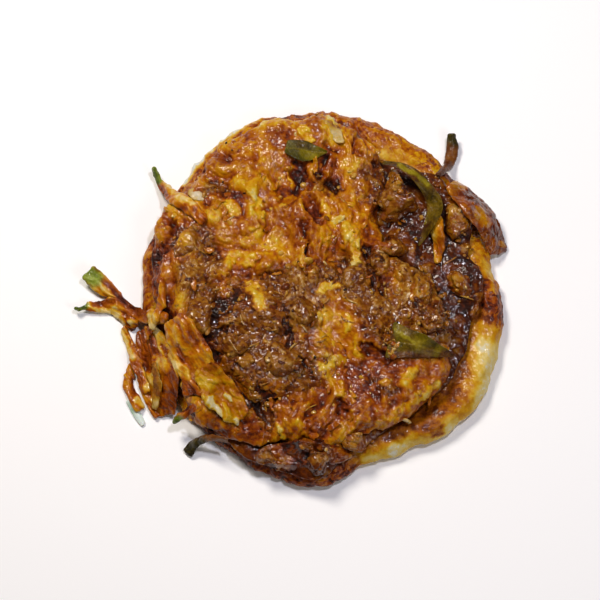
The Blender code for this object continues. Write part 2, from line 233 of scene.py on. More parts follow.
def crumbs(points, size, seed):
    """Cut-up bits: their height, about -1 to 1, with tilted tops, and a random number for each."""
    cell = points / size + 17.3 * seed
    corner = np.floor(cell).astype(np.int64)
    nearest = np.full(len(points), 9.0)
    number, tilt = np.zeros(len(points)), np.zeros(len(points))
    for step in np.ndindex(3, 3, 3):
        grid = corner + np.array(step) - 1
        drawn = corner_random(grid, seed, 6)
        offset = grid + 0.15 + 0.7 * drawn[:, :3] - cell
        away = np.linalg.norm(offset, axis=1)
        closer = away < nearest
        number = np.where(closer, drawn[:, 3], number)
        tilt = np.where(closer, np.einsum("ij,ij->i", offset, 2 * drawn[:, 3:] - 1), tilt)
        nearest = np.minimum(nearest, away)
    return 1.3 * (0.55 - nearest) + 1.1 * tilt + 0.5 * (number - 0.5), number


def eased_step(value, low, high):
    share = np.clip((value - low) / (high - low), 0, 1)
    return share * share * (3 - 2 * share)


def streaks(pixels, strokes):
    """Cover, 0 to 1, of soft strokes from one photo pixel to another: x, y, x, y and width."""
    cover = np.zeros(len(pixels))
    for x, y, end_x, end_y, width in strokes:
        along = np.array((end_x - x, end_y - y), float)
        share = np.clip((pixels - (x, y)) @ along / max(along @ along, 1e-6), 0, 1)
        away = np.linalg.norm(pixels - (x, y) - share[:, None] * along, axis=1)
        cover = np.maximum(cover, 1 - eased_step(away / width, 0.25, 0.75))
    return cover


def ragged_pixels(points, reach, seed):
    """The photo pixels of points, pushed about so that a stroke gets a ragged outline."""
    push = [swell(points, (1, 6, seed + axis), (0.6, 2, seed + 2 + axis)) for axis in range(2)]
    return photo_pixels(points) + reach * np.stack(push, 1)


def towards(value, goal, share):
    """A value moved by a share of the way to its goal."""
    return value + (goal - value) * np.clip(share, 0, 1)


# What all of this food shares. Cooked food bends light a little more than water does, and its
# own surface hardly shines: the gloss is a thin film of oil, roughened by the bumps below it.
# Gravy in the low places dulls the surface under the film, spots have wavering outlines, and
# pale dough lets a little light through.
FOOD_IOR = 1.42
FOOD_GLOSS = 0.16
OIL_IOR = 1.5
OIL_ROUGHNESS = 0.1
GRAVY_ROUGHNESS = 0.6
SPOT_WAVER = 0.8 * MM
GLOW_DEPTH = 1.5 * MM
GLOW_BY_COLOUR = (1.0, 0.6, 0.2)


def wet_food(name, bread, meat=None, roughness=0.3, coat=0.5, grain=2 * MM, bump=0.8 * MM,
             translucent=0.0):
    """A moist food surface with fine mottling, small wet bumps and an oily coat.

    bread and meat are hex colours from the darkest low places, where gravy lies and shade is
    painted in, to the driest high ones and painted highlights.
    The painted tone says how high in them a place is, and the painted meat which of the two it is.
    grain and bump are the real sizes of the colour patches and of the small bumps, drawn a little
    coarser than on the real food so that they show. Spots are stronger on meat than on bread.
    """
    material = bpy.data.materials.new(name)
    material.use_nodes = True
    tree = material.node_tree
    shader = tree.nodes["Principled BSDF"]
    place = add_node(tree, "ShaderNodeTexCoord").outputs["Object"]
    mottling = add_node(tree, "ShaderNodeTexNoise",
                        {"Vector": place, "Scale": 1 / grain, "Detail": 5.0, "Roughness": 0.7})
    shift = add_node(tree, "ShaderNodeMapRange",
                     {"Value": mottling.outputs["Fac"], "From Min": 0.3, "From Max": 0.7,
                      "To Min": -0.09, "To Max": 0.09})
    tone = add_node(tree, "ShaderNodeAttribute", attribute_name="tone").outputs["Fac"]
    minced = add_node(tree, "ShaderNodeAttribute", attribute_name="meat").outputs["Fac"]
    wavering = add_node(tree, "ShaderNodeVectorMath",
                        {0: mottling.outputs["Color"], 3: SPOT_WAVER}, operation="SCALE")
    strayed = add_node(tree, "ShaderNodeVectorMath", {0: place, 1: wavering.outputs[0]})
    pieces = add_node(tree, "ShaderNodeTexVoronoi",
                      {"Vector": strayed.outputs[0], "Scale": 1 / bump})
    each = add_node(tree, "ShaderNodeSeparateColor", {"Color": pieces.outputs["Color"]})
    contrast = add_node(tree, "ShaderNodeMath", {0: minced, 1: 0.26, 2: 0.09},
                        operation="MULTIPLY_ADD")
    spotted = add_node(tree, "ShaderNodeMath",
                       {0: each.outputs["Red"], 1: 0.45}, operation="SUBTRACT")
    mixture = add_node(tree, "ShaderNodeMath",
                       {0: spotted.outputs[0], 1: contrast.outputs[0], 2: shift.outputs["Result"]},
                       operation="MULTIPLY_ADD")
    level = add_node(tree, "ShaderNodeMath", {0: tone, 1: mixture.outputs[0]}).outputs[0]
    colour = add_node(tree, "ShaderNodeValToRGB", {"Fac": level},
                      stops=[(i / (len(bread) - 1), c) for i, c in enumerate(bread)])
    colour = colour.outputs["Color"]
    if meat:
        brown = add_node(tree, "ShaderNodeValToRGB", {"Fac": level},
                         stops=[(i / (len(meat) - 1), c) for i, c in enumerate(meat)])
        mixed = add_node(tree, "ShaderNodeMix", {0: minced, 6: colour, 7: brown.outputs["Color"]},
                         data_type="RGBA")
        colour = mixed.outputs[2]
    grains = add_node(tree, "ShaderNodeTexNoise",
                      {"Vector": place, "Scale": 1 / bump, "Detail": 1.2, "Roughness": 0.5})
    beads = add_node(tree, "ShaderNodeTexVoronoi",
                     {"Vector": place, "Scale": 0.7 / bump, "Smoothness": 0.6},
                     feature="SMOOTH_F1")
    beaded = add_node(tree, "ShaderNodeMath", {0: beads.outputs["Distance"], 1: minced},
                      operation="MULTIPLY")
    height = add_node(tree, "ShaderNodeMath",
                      {0: grains.outputs["Fac"], 1: beaded.outputs[0]}, operation="SUBTRACT")
    relief = add_node(tree, "ShaderNodeBump",
                      {"Height": height.outputs[0], "Strength": 0.7, "Distance": 0.3 * bump})
    damp = add_node(tree, "ShaderNodeMapRange",
                    {"Value": level, "From Min": 0.05, "From Max": 0.45,
                     "To Min": GRAVY_ROUGHNESS, "To Max": roughness})
    tree.links.new(colour, shader.inputs["Base Color"])
    tree.links.new(relief.outputs["Normal"], shader.inputs["Normal"])
    tree.links.new(relief.outputs["Normal"], shader.inputs["Coat Normal"])
    tree.links.new(damp.outputs["Result"], shader.inputs["Roughness"])
    shader.inputs["IOR"].default_value = FOOD_IOR
    shader.inputs["Specular IOR Level"].default_value = FOOD_GLOSS
    shader.inputs["Coat Weight"].default_value = coat
    shader.inputs["Coat Roughness"].default_value = OIL_ROUGHNESS
    shader.inputs["Coat IOR"].default_value = OIL_IOR
    if translucent:
        shader.inputs["Subsurface Weight"].default_value = translucent
        shader.inputs["Subsurface Radius"].default_value = GLOW_BY_COLOUR
        shader.inputs["Subsurface Scale"].default_value = GLOW_DEPTH
    return material


# Strokes on the lower bread, in photo pixels: where roast and oil soaked the rim right through,
# the front lobe under the roast, gravy that ran over the rim together with painted shadow in the
# valley under the upper bread's edge, oil stains, clean cream dough, and the bare edge at the upper
# left, painted bluish white as painted cool light on bare dough.
RIM_SOAKED = (
    (236, 136, 300, 120, 24), (300, 116, 350, 120, 30), (350, 120, 404, 138, 34),
    (404, 138, 440, 164, 40), (440, 164, 476, 196, 44), (476, 196, 500, 244, 50),
    (228, 144, 190, 180, 30), (186, 184, 158, 226, 34), (158, 226, 142, 270, 36),
    (142, 270, 142, 330, 36), (142, 330, 158, 392, 40), (170, 400, 206, 440, 40),
    (206, 440, 250, 470, 44), (250, 470, 284, 486, 40), (284, 486, 340, 482, 46),
    (488, 292, 500, 316, 24),
)
FRONT_LOBE = ((200, 436, 240, 462, 40), (240, 462, 276, 482, 44), (276, 482, 338, 478, 50))
RIM_GRAVY_AND_SHADOW = (
    (478, 304, 504, 312, 26), (462, 268, 480, 286, 20), (452, 382, 462, 396, 14),
    (424, 424, 438, 430, 14), (470, 206, 502, 240, 20), (340, 468, 352, 474, 14),
    (458, 340, 462, 372, 12), (150, 238, 172, 262, 12), (480, 300, 504, 300, 16),
    (454, 370, 448, 400, 22), (448, 400, 424, 420, 26), (424, 420, 386, 432, 16),
    (452, 178, 474, 206, 18), (480, 318, 503, 322, 8), (360, 446, 372, 440, 12),
)
RIM_ORANGE = (
    (466, 345, 474, 352, 12), (440, 400, 462, 412, 14), (384, 436, 412, 430, 12),
    (475, 280, 494, 290, 12), (478, 326, 500, 332, 14), (346, 456, 372, 446, 12),
    (466, 356, 470, 384, 12), (470, 320, 492, 322, 16), (402, 424, 440, 412, 12),
    (456, 398, 476, 384, 10), (462, 256, 486, 262, 14), (444, 410, 464, 408, 18),
    (416, 434, 442, 430, 14), (466, 330, 468, 372, 12), (380, 440, 400, 436, 12),
    (486, 330, 496, 336, 9), (474, 392, 462, 404, 10),
)
RIM_CREAM = (
    (484, 346, 492, 368, 15), (392, 452, 404, 447, 10), (440, 438, 450, 428, 10),
    (486, 262, 492, 270, 9), (480, 394, 488, 382, 12), (366, 462, 374, 458, 8),
)
BARE_EDGE_IN_COOL_LIGHT = ((182, 181, 212, 144, 9), (212, 144, 250, 120, 9), (250, 120, 290, 110, 6))
# The last, bluish stop is reached only by the bare edge: painted cool light.
RIM_TONES = ("#2A0A00", "#642A00", "#9A5600", "#B67C04", "#C4961C", "#CCAA40", "#D0BA74", "#CCD0CC")
SOAKED_TONES = ("#240600", "#541800", "#7C3200", "#9A5000", "#B06E00", "#BE8804", "#C6A020",
                "#D0BC74")
BREAD_RADIUS = 85 * MM
COIL_WIDTH = 2.6 * MM
STRAND = 7 * MM
FINE_STRAND = 2.6 * MM
BROKEN_LAYER = 9 * MM
DOUGH_CRUMB = 4.2 * MM


def torn_layers(points, seed):
    """Relief of torn, flaky dough in millimetres: strands, broken layers and crumbs."""
    turn = 0.9 * lumps(points, 55 * MM, seed)
    along = points[:, 0] * np.sin(turn) + points[:, 1] * np.cos(turn)
    across = points[:, 0] * np.cos(turn) - points[:, 1] * np.sin(turn)
    bent = np.stack((across + 3 * MM * lumps(points, 9 * MM, seed + 1), along / 2.4,
                     points[:, 2]), 1)
    strands = 1 - 2.4 * np.abs(lumps(bent, STRAND, seed + 2))
    fine_strands = 1 - 2.4 * np.abs(lumps(bent, FINE_STRAND, seed + 8))
    height = 2.4 * lumps(bent, BROKEN_LAYER, seed + 3) + 0.6 * lumps(points, 5 * MM, seed + 4)
    broken = np.floor(height) + eased_step(height - np.floor(height), 0.2, 0.8)
    bits, _ = crumbs(points, DOUGH_CRUMB, seed + 5)
    return (0.70 * strands + 0.26 * fine_strands + 1.1 * broken + 0.22 * bits
            + 0.24 * lumps(points, 2.8 * MM, seed + 6))


lower_parotta = fine_solid("lower_parotta_bread", "lower_parotta", 3)
spots = points_of(lower_parotta)
radius = np.hypot(spots[:, 0], spots[:, 1])
coil = radius + 1.2 * MM * lumps(spots, 22 * MM, 2)
layered = np.sin(coil / COIL_WIDTH * math.pi)
seen = ragged_pixels(spots, 4.0, 7)
above = eased_step(spots[:, 2], 0.3 * MM, 2.5 * MM)
soaking = streaks(seen, RIM_SOAKED) * eased_step(spots[:, 2], 0.5 * MM, 2.5 * MM)
torn = torn_layers(spots, 22)
lobe = streaks(seen, FRONT_LOBE)
bits, _ = crumbs(spots, 4.6 * MM, 19)
relief_mm = (swell(spots, (0.55, 8, 3), (0.30, 3.6, 4), (0.10, 1.6, 5))
             + 0.5 * torn * soaking * (1 - lobe)
             + (0.7 * bits + swell(spots, (0.6, 7, 29))) * lobe
             + 0.12 * layered * eased_step(lumps(spots, 18 * MM, 6), -0.3, 0.5))
raise_surface(lower_parotta, spots, relief_mm * above)
inward = BREAD_RADIUS - radius + 2 * MM * lumps(spots, 12 * MM, 8)
tone = 0.76 - 0.10 * eased_step(inward, 0, 4 * MM) - 0.5 * eased_step(inward, 8 * MM, 15 * MM)
tone += swell(spots, (0.12, 9, 9), (0.08, 3, 10)) + 0.05 * relief_mm
tone = towards(tone, 0.40, 0.8 * streaks(seen, RIM_ORANGE))
tone = towards(tone, 0.90, 0.8 * streaks(seen, RIM_CREAM))
stain = 0.42 + 0.10 * (torn - torn[soaking > 0.5].mean()) + 0.14 * lumps(spots, 5 * MM, 18)
tone = towards(tone, stain, soaking)
# Gravy over the rim, and painted shadow in the valley under the upper bread's edge.
tone = towards(tone, 0.19 + 0.12 * lumps(spots, 4 * MM, 11), streaks(seen, RIM_GRAVY_AND_SHADOW))
tone = towards(tone, 0.21 + 0.10 * bits + 0.10 * lumps(spots, 5 * MM, 18), lobe)
# The bare edge: pale dough, painted bluish white as painted cool light.
bare = streaks(photo_pixels(spots), BARE_EDGE_IN_COOL_LIGHT) * (inward < 6 * MM)
tone = towards(tone, 1.0, bare)
# Painted shade: the lowest few millimetres of the bread, away from the lobe, turn darker amber.
tone = towards(tone, 0.50, 0.7 * (1 - eased_step(spots[:, 2], 1.0 * MM, 3.5 * MM)) * (1 - lobe))
paint(lower_parotta, {"tone": tone, "meat": soaking * (1 - bare)})
# Wheat dough griddled in oil: cream to amber and mostly matt, with a little light through it.
lower_parotta.data.materials.append(wet_food(
    "oiled_parotta_dough", RIM_TONES, SOAKED_TONES, roughness=0.42, coat=0.2, grain=2.5 * MM,
    bump=1.4 * MM, translucent=0.15))
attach(lower_parotta, "root")
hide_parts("lower_parotta")

# Upper parotta. The second flatbread, torn and pressed into the roast until its layers soaked:
# yellow and orange flakes stand up, and brown masala fills what lies between them.

# Strokes on it, in photo pixels: oily yellow and pale dough, with a painted highlight line and
# painted glints among them, orange stains, masala, the hollows between its layers, painted dark
# with gravy and painted shade, and the dark crust along its front edge.
YELLOW_AND_EDGE_HIGHLIGHT = (
    (256, 122, 300, 118, 14), (261, 133, 261, 141, 11), (222, 147, 236, 140, 11),
    (228, 185, 262, 184, 10), (281, 160, 282, 182, 10), (368, 121, 396, 133, 10),
    (333, 206, 357, 210, 26), (255, 228, 262, 252, 10), (270, 246, 296, 254, 20),
    (324, 228, 326, 242, 12), (348, 226, 360, 244, 13), (334, 318, 348, 326, 18),
    (326, 336, 354, 342, 20), (352, 345, 366, 352, 12), (165, 268, 167, 290, 14),
    (342, 392, 354, 396, 8), (328, 372, 338, 388, 12), (373, 150, 384, 148, 12),
    (196, 216, 214, 220, 9), (172, 208, 180, 222, 9), (300, 425, 306, 432, 9),
    (268, 144, 262, 158, 11), (243, 246, 258, 236, 8), (412, 372, 404, 384, 8),
    (236, 158, 256, 150, 12), (196, 200, 204, 208, 8), (344, 180, 352, 196, 10),
    # The three thin strokes that follow the front crust edge are a painted highlight line.
    (322, 352, 344, 360, 10), (246, 206, 262, 216, 10), (436, 382, 421, 396, 6),
    (421, 396, 404, 408, 6), (404, 408, 376, 420, 6), (324, 316, 334, 330, 12),
    (340, 200, 352, 230, 14), (372, 388, 384, 382, 7), (326, 200, 344, 196, 10),
)
# Pale dough; the strokes at (354, 242) and (352, 244) are painted glints.
PALE_AND_GLINTS = (
    (331, 124, 333, 138, 15), (343, 140, 348, 168, 16), (255, 194, 257, 202, 9),
    (229, 206, 235, 210, 9), (230, 258, 250, 262, 14), (354, 242, 357, 256, 9),
    (331, 219, 335, 225, 8), (280, 428, 283, 434, 7), (256, 121, 262, 124, 7),
    (292, 166, 292, 186, 5), (298, 130, 312, 136, 8), (252, 282, 260, 302, 13),
    (345, 318, 346, 330, 7), (283, 204, 292, 194, 6), (322, 206, 330, 212, 7),
    (352, 244, 356, 262, 8), (320, 288, 336, 284, 8), (332, 360, 322, 366, 8),
)
ORANGE = (
    (196, 176, 212, 166, 12), (286, 214, 297, 240, 14), (308, 186, 316, 197, 12),
    (279, 206, 294, 190, 10), (346, 161, 372, 165, 10), (300, 171, 303, 178, 7),
    (438, 170, 462, 190, 16), (370, 350, 394, 372, 18), (236, 218, 250, 230, 14),
    (224, 236, 244, 242, 14), (272, 392, 292, 408, 18), (322, 320, 332, 312, 10),
    (416, 150, 440, 166, 14), (300, 150, 288, 160, 9), (240, 165, 266, 172, 14),
    (270, 214, 280, 232, 14), (300, 400, 330, 404, 22), (310, 250, 330, 262, 14),
    (352, 176, 366, 190, 12), (210, 150, 226, 158, 12), (200, 224, 230, 226, 10),
    (330, 296, 352, 312, 12), (318, 340, 318, 356, 12),
)
MASALA = (
    (195, 275, 214, 320, 36), (236, 330, 300, 310, 52), (246, 364, 306, 362, 48),
    (240, 292, 296, 275, 26), (324, 276, 376, 262, 28), (366, 300, 440, 322, 44),
    (380, 180, 412, 220, 52), (212, 186, 224, 190, 12), (256, 396, 268, 420, 18),
    (200, 236, 212, 262, 24), (290, 285, 350, 285, 30), (352, 296, 380, 330, 26),
    (320, 182, 336, 192, 14), (376, 380, 392, 392, 12), (206, 190, 220, 186, 10),
    (404, 240, 436, 300, 44), (222, 412, 300, 384, 20), (440, 200, 480, 240, 50),
)
GRAVY_AND_SHADE_HOLLOWS = (
    (296, 168, 308, 186, 11), (321, 175, 331, 188, 9), (308, 198, 318, 217, 11),
    (305, 220, 309, 268, 6), (372, 163, 385, 164, 5), (407, 184, 416, 202, 9),
    (390, 234, 409, 214, 13), (146, 266, 174, 238, 9), (174, 238, 174, 222, 8),
    (220, 314, 238, 290, 9), (286, 316, 291, 346, 6), (256, 386, 269, 396, 9),
    (252, 402, 262, 416, 7), (303, 358, 306, 370, 5), (381, 280, 384, 294, 6),
    (204, 338, 226, 330, 7), (368, 248, 374, 282, 7), (364, 346, 384, 358, 9),
    (338, 402, 350, 422, 9), (353, 140, 359, 153, 6), (222, 300, 214, 322, 10),
    (202, 344, 213, 356, 12),
)
CRUST = (
    (330, 380, 352, 372, 20), (372, 366, 430, 380, 26), (356, 424, 402, 404, 18),
    (402, 406, 434, 388, 14), (288, 426, 316, 424, 18), (296, 396, 340, 404, 30),
    (236, 434, 266, 438, 14), (360, 396, 400, 384, 24), (416, 366, 440, 372, 14),
)
HOLLOW_DEPTH_MM = 2.4
MINCED_TONES = ("#1C0600", "#3C1400", "#582600", "#724006", "#8A5A18", "#A27A42", "#BA9E7C")


def soaked(points):
    """Tone, meat and hollow of the food at these points, from the strokes."""
    seen = ragged_pixels(points, 4.5, 21)
    masala = streaks(seen, MASALA)
    orange, yellow = streaks(seen, ORANGE), streaks(seen, YELLOW_AND_EDGE_HIGHLIGHT)
    pale, hollow = streaks(seen, PALE_AND_GLINTS), streaks(seen, GRAVY_AND_SHADE_HOLLOWS)
    crust = streaks(seen, CRUST)
    tone = 0.40 + swell(points, (0.16, 9, 25), (0.13, 4, 26))
    tone = towards(tone, 0.42, 0.7 * masala)
    tone = towards(tone, 0.46, 0.7 * orange)
    tone = towards(tone, 0.31, 0.75 * crust)
    tone = towards(tone, 0.70, 0.8 * yellow)
    tone = towards(tone, 0.95, 0.8 * pale)
    # Hollows painted dark: gravy in them, and painted shade.
    tone = towards(tone, 0.16 + 0.10 * lumps(points, 3 * MM, 31), hollow)
    speckled = 0.5 + swell(points, (0.9, 6, 27), (0.6, 2.4, 28))
    meat = np.clip(0.8 * masala + 0.3 * speckled, 0, 1) * (1 - 0.75 * np.maximum(yellow, pale))
    meat *= 1 - 0.8 * pale
    return tone, towards(meat, 0.2, 0.7 * orange), hollow


upper_parotta = fine_solid("upper_parotta_bread", "upper_parotta", 3)
spots = points_of(upper_parotta)
facing = normals_of(upper_parotta)
tone, meat, hollow = soaked(spots)
torn = torn_layers(spots, 22)
bits, _ = crumbs(spots, 3.2 * MM, 32)
small_bits, small_number = crumbs(spots, 1.8 * MM, 33)
relief_mm = (0.85 * torn + 0.7 * eased_step(tone, 0.5, 0.8) - HOLLOW_DEPTH_MM * hollow
             + 0.5 * bits * np.maximum(hollow, 0.5 * meat) + 0.22 * small_bits)
above = eased_step(facing[:, 2], -0.3, 0.3)
raise_surface(upper_parotta, spots, relief_mm * above)
tone += 0.11 * (torn - torn.mean()) + 0.10 * lumps(spots, 2.6 * MM, 30)
paint(upper_parotta, {"tone": tone + 0.10 * (small_number - 0.5) + 0.05 * small_bits,
                      "meat": meat})
# Dough soaked with oil and masala: saturated orange, with a wet film that glints on each crumb.
upper_parotta.data.materials.append(wet_food(
    "masala_soaked_parotta", SOAKED_TONES, MINCED_TONES, roughness=0.4, coat=0.45,
    grain=3.0 * MM, bump=1.3 * MM, translucent=0.1))
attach(upper_parotta, "root")
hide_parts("upper_parotta")

# Beef filling. Thick roast gravy with minced beef and onion that runs between the breads. It
# shows at the right, in the valley behind the rim and as the dark lobe at the front.

# Strokes in photo pixels: a painted sheen where the gravy catches light, and painted shadow in the
# dark gaps round the beef.
VALLEY_SHEEN = ((455, 385, 462, 372, 12), (425, 412, 450, 402, 14), (455, 240, 466, 246, 12))
GAP_SHADOW_ROUND_BEEF = ((424, 308, 466, 312, 12), (442, 198, 452, 252, 12), (466, 300, 470, 330, 10),
              (418, 244, 418, 260, 6), (404, 180, 410, 206, 10), (466, 270, 470, 300, 10),
              (440, 294, 468, 300, 14), (446, 256, 470, 262, 10), (402, 216, 416, 236, 12),
              (436, 200, 440, 260, 10), (470, 318, 472, 352, 10))
GRAVY_TONES = ("#1A0400", "#381000", "#582000", "#763600", "#905204", "#A87614")

filling = fine_solid("roast_filling", "beef_filling", 3)
spots = points_of(filling)
bits, number = crumbs(spots, 4.4 * MM, 12)
relief_mm = (swell(spots, (1.0, 10, 14), (0.42, 2.4, 13), (0.12, 1.2, 15))
             + 0.9 * bits * (number > 0.45))
above = eased_step(normals_of(filling)[:, 2], -0.2, 0.4)
raise_surface(filling, spots, relief_mm * above)
seen = ragged_pixels(spots, 3.0, 16)
sheen = streaks(seen, VALLEY_SHEEN)
tone = 0.31 + 0.12 * lumps(spots, 14 * MM, 17) + 0.20 * relief_mm + 0.10 * (number - 0.5)
# Painted shadow in the dark gaps round the beef, then a painted sheen where the gravy catches
# light.
tone = towards(tone, 0.05, 0.8 * streaks(seen, GAP_SHADOW_ROUND_BEEF))
paint(filling, {"tone": tone + 0.15 * sheen,
                "meat": 0.35 + 0.5 * eased_step(relief_mm, 0.1, 0.6) * number + 0.5 * sheen})
# Thick roast gravy: red-brown to nearly black, with small cool glints on its lumps.
filling.data.materials.append(wet_food(
    "dark_roast_gravy", GRAVY_TONES, MINCED_TONES, roughness=0.3, coat=0.5, grain=2.8 * MM,
    bump=1.5 * MM, translucent=0.05))
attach(filling, "root")
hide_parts("beef_filling")

# Masala heaps. Minced beef, soft onion and ground spice cooked down to a brown, grainy mass,
# spooned over the torn bread in the middle, at the right and on the front lobe.
MINCE_SIZE = 5.2 * MM
SUNK_RIM = 2.6 * MM
FRONT_DARKER = 0.20
# Beef minced and fried down in its fat: brown and spotted, with the strongest glints of all.
beef_masala = wet_food("minced_beef_masala", SOAKED_TONES, MINCED_TONES, roughness=0.38,
                       coat=0.85, grain=2.6 * MM, bump=1.5 * MM, translucent=0.05)
heaps = []
for seed, heap in enumerate(("masala_middle", "masala_right", "masala_front")):
    mass = fine_solid(heap + "_mince", heap, 3)
    spots = points_of(mass)
    warp = np.stack([lumps(spots, 5 * MM, 43 + axis) for axis in range(3)], 1)
    bits, number = crumbs(spots + 1.2 * MM * warp, MINCE_SIZE, 40 + seed)
    small_bits, _ = crumbs(spots, 0.5 * MINCE_SIZE, 43 + seed)
    tone, meat, hollow = soaked(spots)
    relief_mm = (swell(spots, (1.4, 9, 46 + seed), (0.08, 1.2, 49)) + 0.9 * bits
                 + 0.34 * small_bits - 2.0 * hollow)
    low_corner, high_corner = (np.array(corner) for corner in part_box(heap))
    off_middle = (spots - (low_corner + high_corner) / 2) / (high_corner - low_corner) * 2
    outward = np.hypot(off_middle[:, 0], off_middle[:, 1]) + 0.14 * lumps(spots, 12 * MM, 50)
    spots[:, 2] -= SUNK_RIM * eased_step(outward, 0.66, 1.0)
    above = eased_step(normals_of(mass)[:, 2], -0.3, 0.3)
    raise_surface(mass, spots, relief_mm * above)
    tone += 0.12 * relief_mm + 0.22 * (number - 0.5) * eased_step(relief_mm, 0, 0.6)
    if heap == "masala_front":
        tone, meat = tone - FRONT_DARKER, 0.5 + 0.3 * (number - 0.5)
    paint(mass, {"tone": tone, "meat": meat})
    mass.data.materials.append(beef_masala)
    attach(mass, "root")
    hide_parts(heap)
    heaps.append(mass)

# Beef pieces. Cubes of slow-roasted beef, torn along the grain: broken faces with soft edges, the
# muscle fibres showing as fine ridges. They sink into the masala that coats them, and the fat
# and the spice on them are golden.
FIBRE_WIDTH = 1.2 * MM
BROKEN_FACES = 12
BEEF_SUNK = {"beef_middle": 2.2 * MM, "beef_left_dark": 1.5 * MM, "beef_left": 1.0 * MM}
GOLDEN = 0.05
GOLDEN_BEEF = {"beef_right_square": 0.5, "beef_right_rim": 0.35, "beef_far_right": 0.2,
               "beef_right_edge": 0.25, "beef_front": 0.35, "beef_right_small": 0.2}


def broken_faces(points, count, rng):
    """Points of a round lump, pressed back to flat faces in random directions, mostly upward."""
    middle = (points.min(0) + points.max(0)) / 2
    for _ in range(count):
        outward = rng.normal(size=3)
        outward[2] = 0.8 * abs(outward[2])
        outward /= np.linalg.norm(outward)
        reach = (points - middle) @ outward
        over = np.clip(reach - rng.uniform(0.45, 0.8) * reach.max(), 0, None)
        points = points - 0.85 * over[:, None] * outward
    return points


# Slow-roasted beef: the browns of the mince on larger broken faces, under a film of fat.
beef_coating = wet_food("roasted_beef", SOAKED_TONES, MINCED_TONES, roughness=0.38, coat=0.75,
                        grain=2.6 * MM, bump=1.6 * MM, translucent=0.05)
beef_nodes = sorted(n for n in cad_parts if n.startswith("beef_") and n != "beef_filling")
chunks = []
for seed, node in enumerate(beef_nodes):
    meat_piece = fine_solid(node + "_meat", node, 3)
    low_corner, high_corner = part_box(node)
    spots = points_of(meat_piece)
    rise = (spots[:, 2] - low_corner.z) / (high_corner.z - low_corner.z)
    facing = normals_of(meat_piece)
    spots = broken_faces(spots, BROKEN_FACES, np.random.default_rng(400 + seed))
    spots[:, :2] += 1.2 * MM * facing[:, :2] * (1 - eased_step(rise, 0.1, 0.6))[:, None]
    spots[:, 2] -= BEEF_SUNK.get(node, 0.0)
    reshape(meat_piece, spots)
    grain_turn = 2.4 * seed
    across = spots @ np.array((math.cos(grain_turn), math.sin(grain_turn), 0.3))
    along = spots @ np.array((-math.sin(grain_turn), math.cos(grain_turn), 0.0))
    bent = np.stack((across + 0.8 * MM * lumps(spots, 5 * MM, 59), along / 4, spots[:, 2]), 1)
    fibres = 1 - 2.2 * np.abs(lumps(bent, 2.2 * FIBRE_WIDTH, 60 + seed))
    bits, number = crumbs(spots, 3.6 * MM, 80 + seed)
    relief_mm = (swell(spots, (1.2, 7, 100 + seed), (0.30, 3.2, 120 + seed), (0.08, 1.3, 121))
                 + 0.30 * fibres + 0.4 * bits)
    raise_surface(meat_piece, spots, relief_mm)
    tone, _, _ = soaked(spots)
    gold = GOLDEN_BEEF.get(node, GOLDEN)
    # Painted light and shade: lighter towards each piece's top, darker at its base.
    tone = (0.5 * tone + 0.08 + 0.18 * eased_step(rise, 0.1, 0.8) + 0.10 * relief_mm
            + 0.14 * (number - 0.5) + 0.10 * lumps(spots, 5 * MM, 140 + seed) + 0.12 * gold)
    paint(meat_piece, {"tone": tone,
                       "meat": 0.95 - gold * (0.9 + 1.0 * lumps(spots, 6 * MM, 160 + seed))})
    meat_piece.data.materials.append(beef_coating)
    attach(meat_piece, "root")
    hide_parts(node)
    chunks.append(meat_piece)

# Onion slices. Thin crescents fried soft in oil, almost clear, painted creamy on their upward faces
# as painted light and browner on their sides.
ONION_TONES = ("#74400A", "#9C6810", "#B0903C", "#BCA87A", "#C8BCA8")
ONION_SUNK = {"onion_far": 0.9 * MM, "onion_left": 0.7 * MM, "shred_pale_strip": 0.0}
# Onion fried soft: creamy and half clear, with a faint gloss.
soft_onion = wet_food("soft_fried_onion", ONION_TONES, roughness=0.3, coat=0.15, grain=3 * MM,
                      bump=1.1 * MM, translucent=0.35)
slices = []
for seed, (node, sunk) in enumerate(ONION_SUNK.items()):
    onion = fine_solid(node + "_slice", node, 3)
    spots = points_of(onion)
    spots[:, 0] += 0.8 * MM * lumps(spots, 3 * MM, 185)
    spots[:, 1] += 0.8 * MM * lumps(spots, 3 * MM, 186)
    spots[:, 2] -= sunk
    facing = normals_of(onion)
    relief_mm = swell(spots, (0.6, 4.5, 180 + seed), (0.2, 1.8, 181))
    raise_surface(onion, spots, relief_mm)
    # Painted light: upward faces lighter, sloping sides darker.
    paint(onion, {"tone": 0.05 + 0.58 * eased_step(facing[:, 2], 0.5, 0.98)
                  + 0.35 * lumps(spots, 5 * MM, 190 + seed) + 0.25 * relief_mm})
    onion.data.materials.append(soft_onion)
    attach(onion, "root")
    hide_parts(node)
    slices.append(onion)

# Torn fold. A piece of the upper bread folded over at the front left, its layers peeled apart:
# oil-yellow outside, white and moist inside the fold.

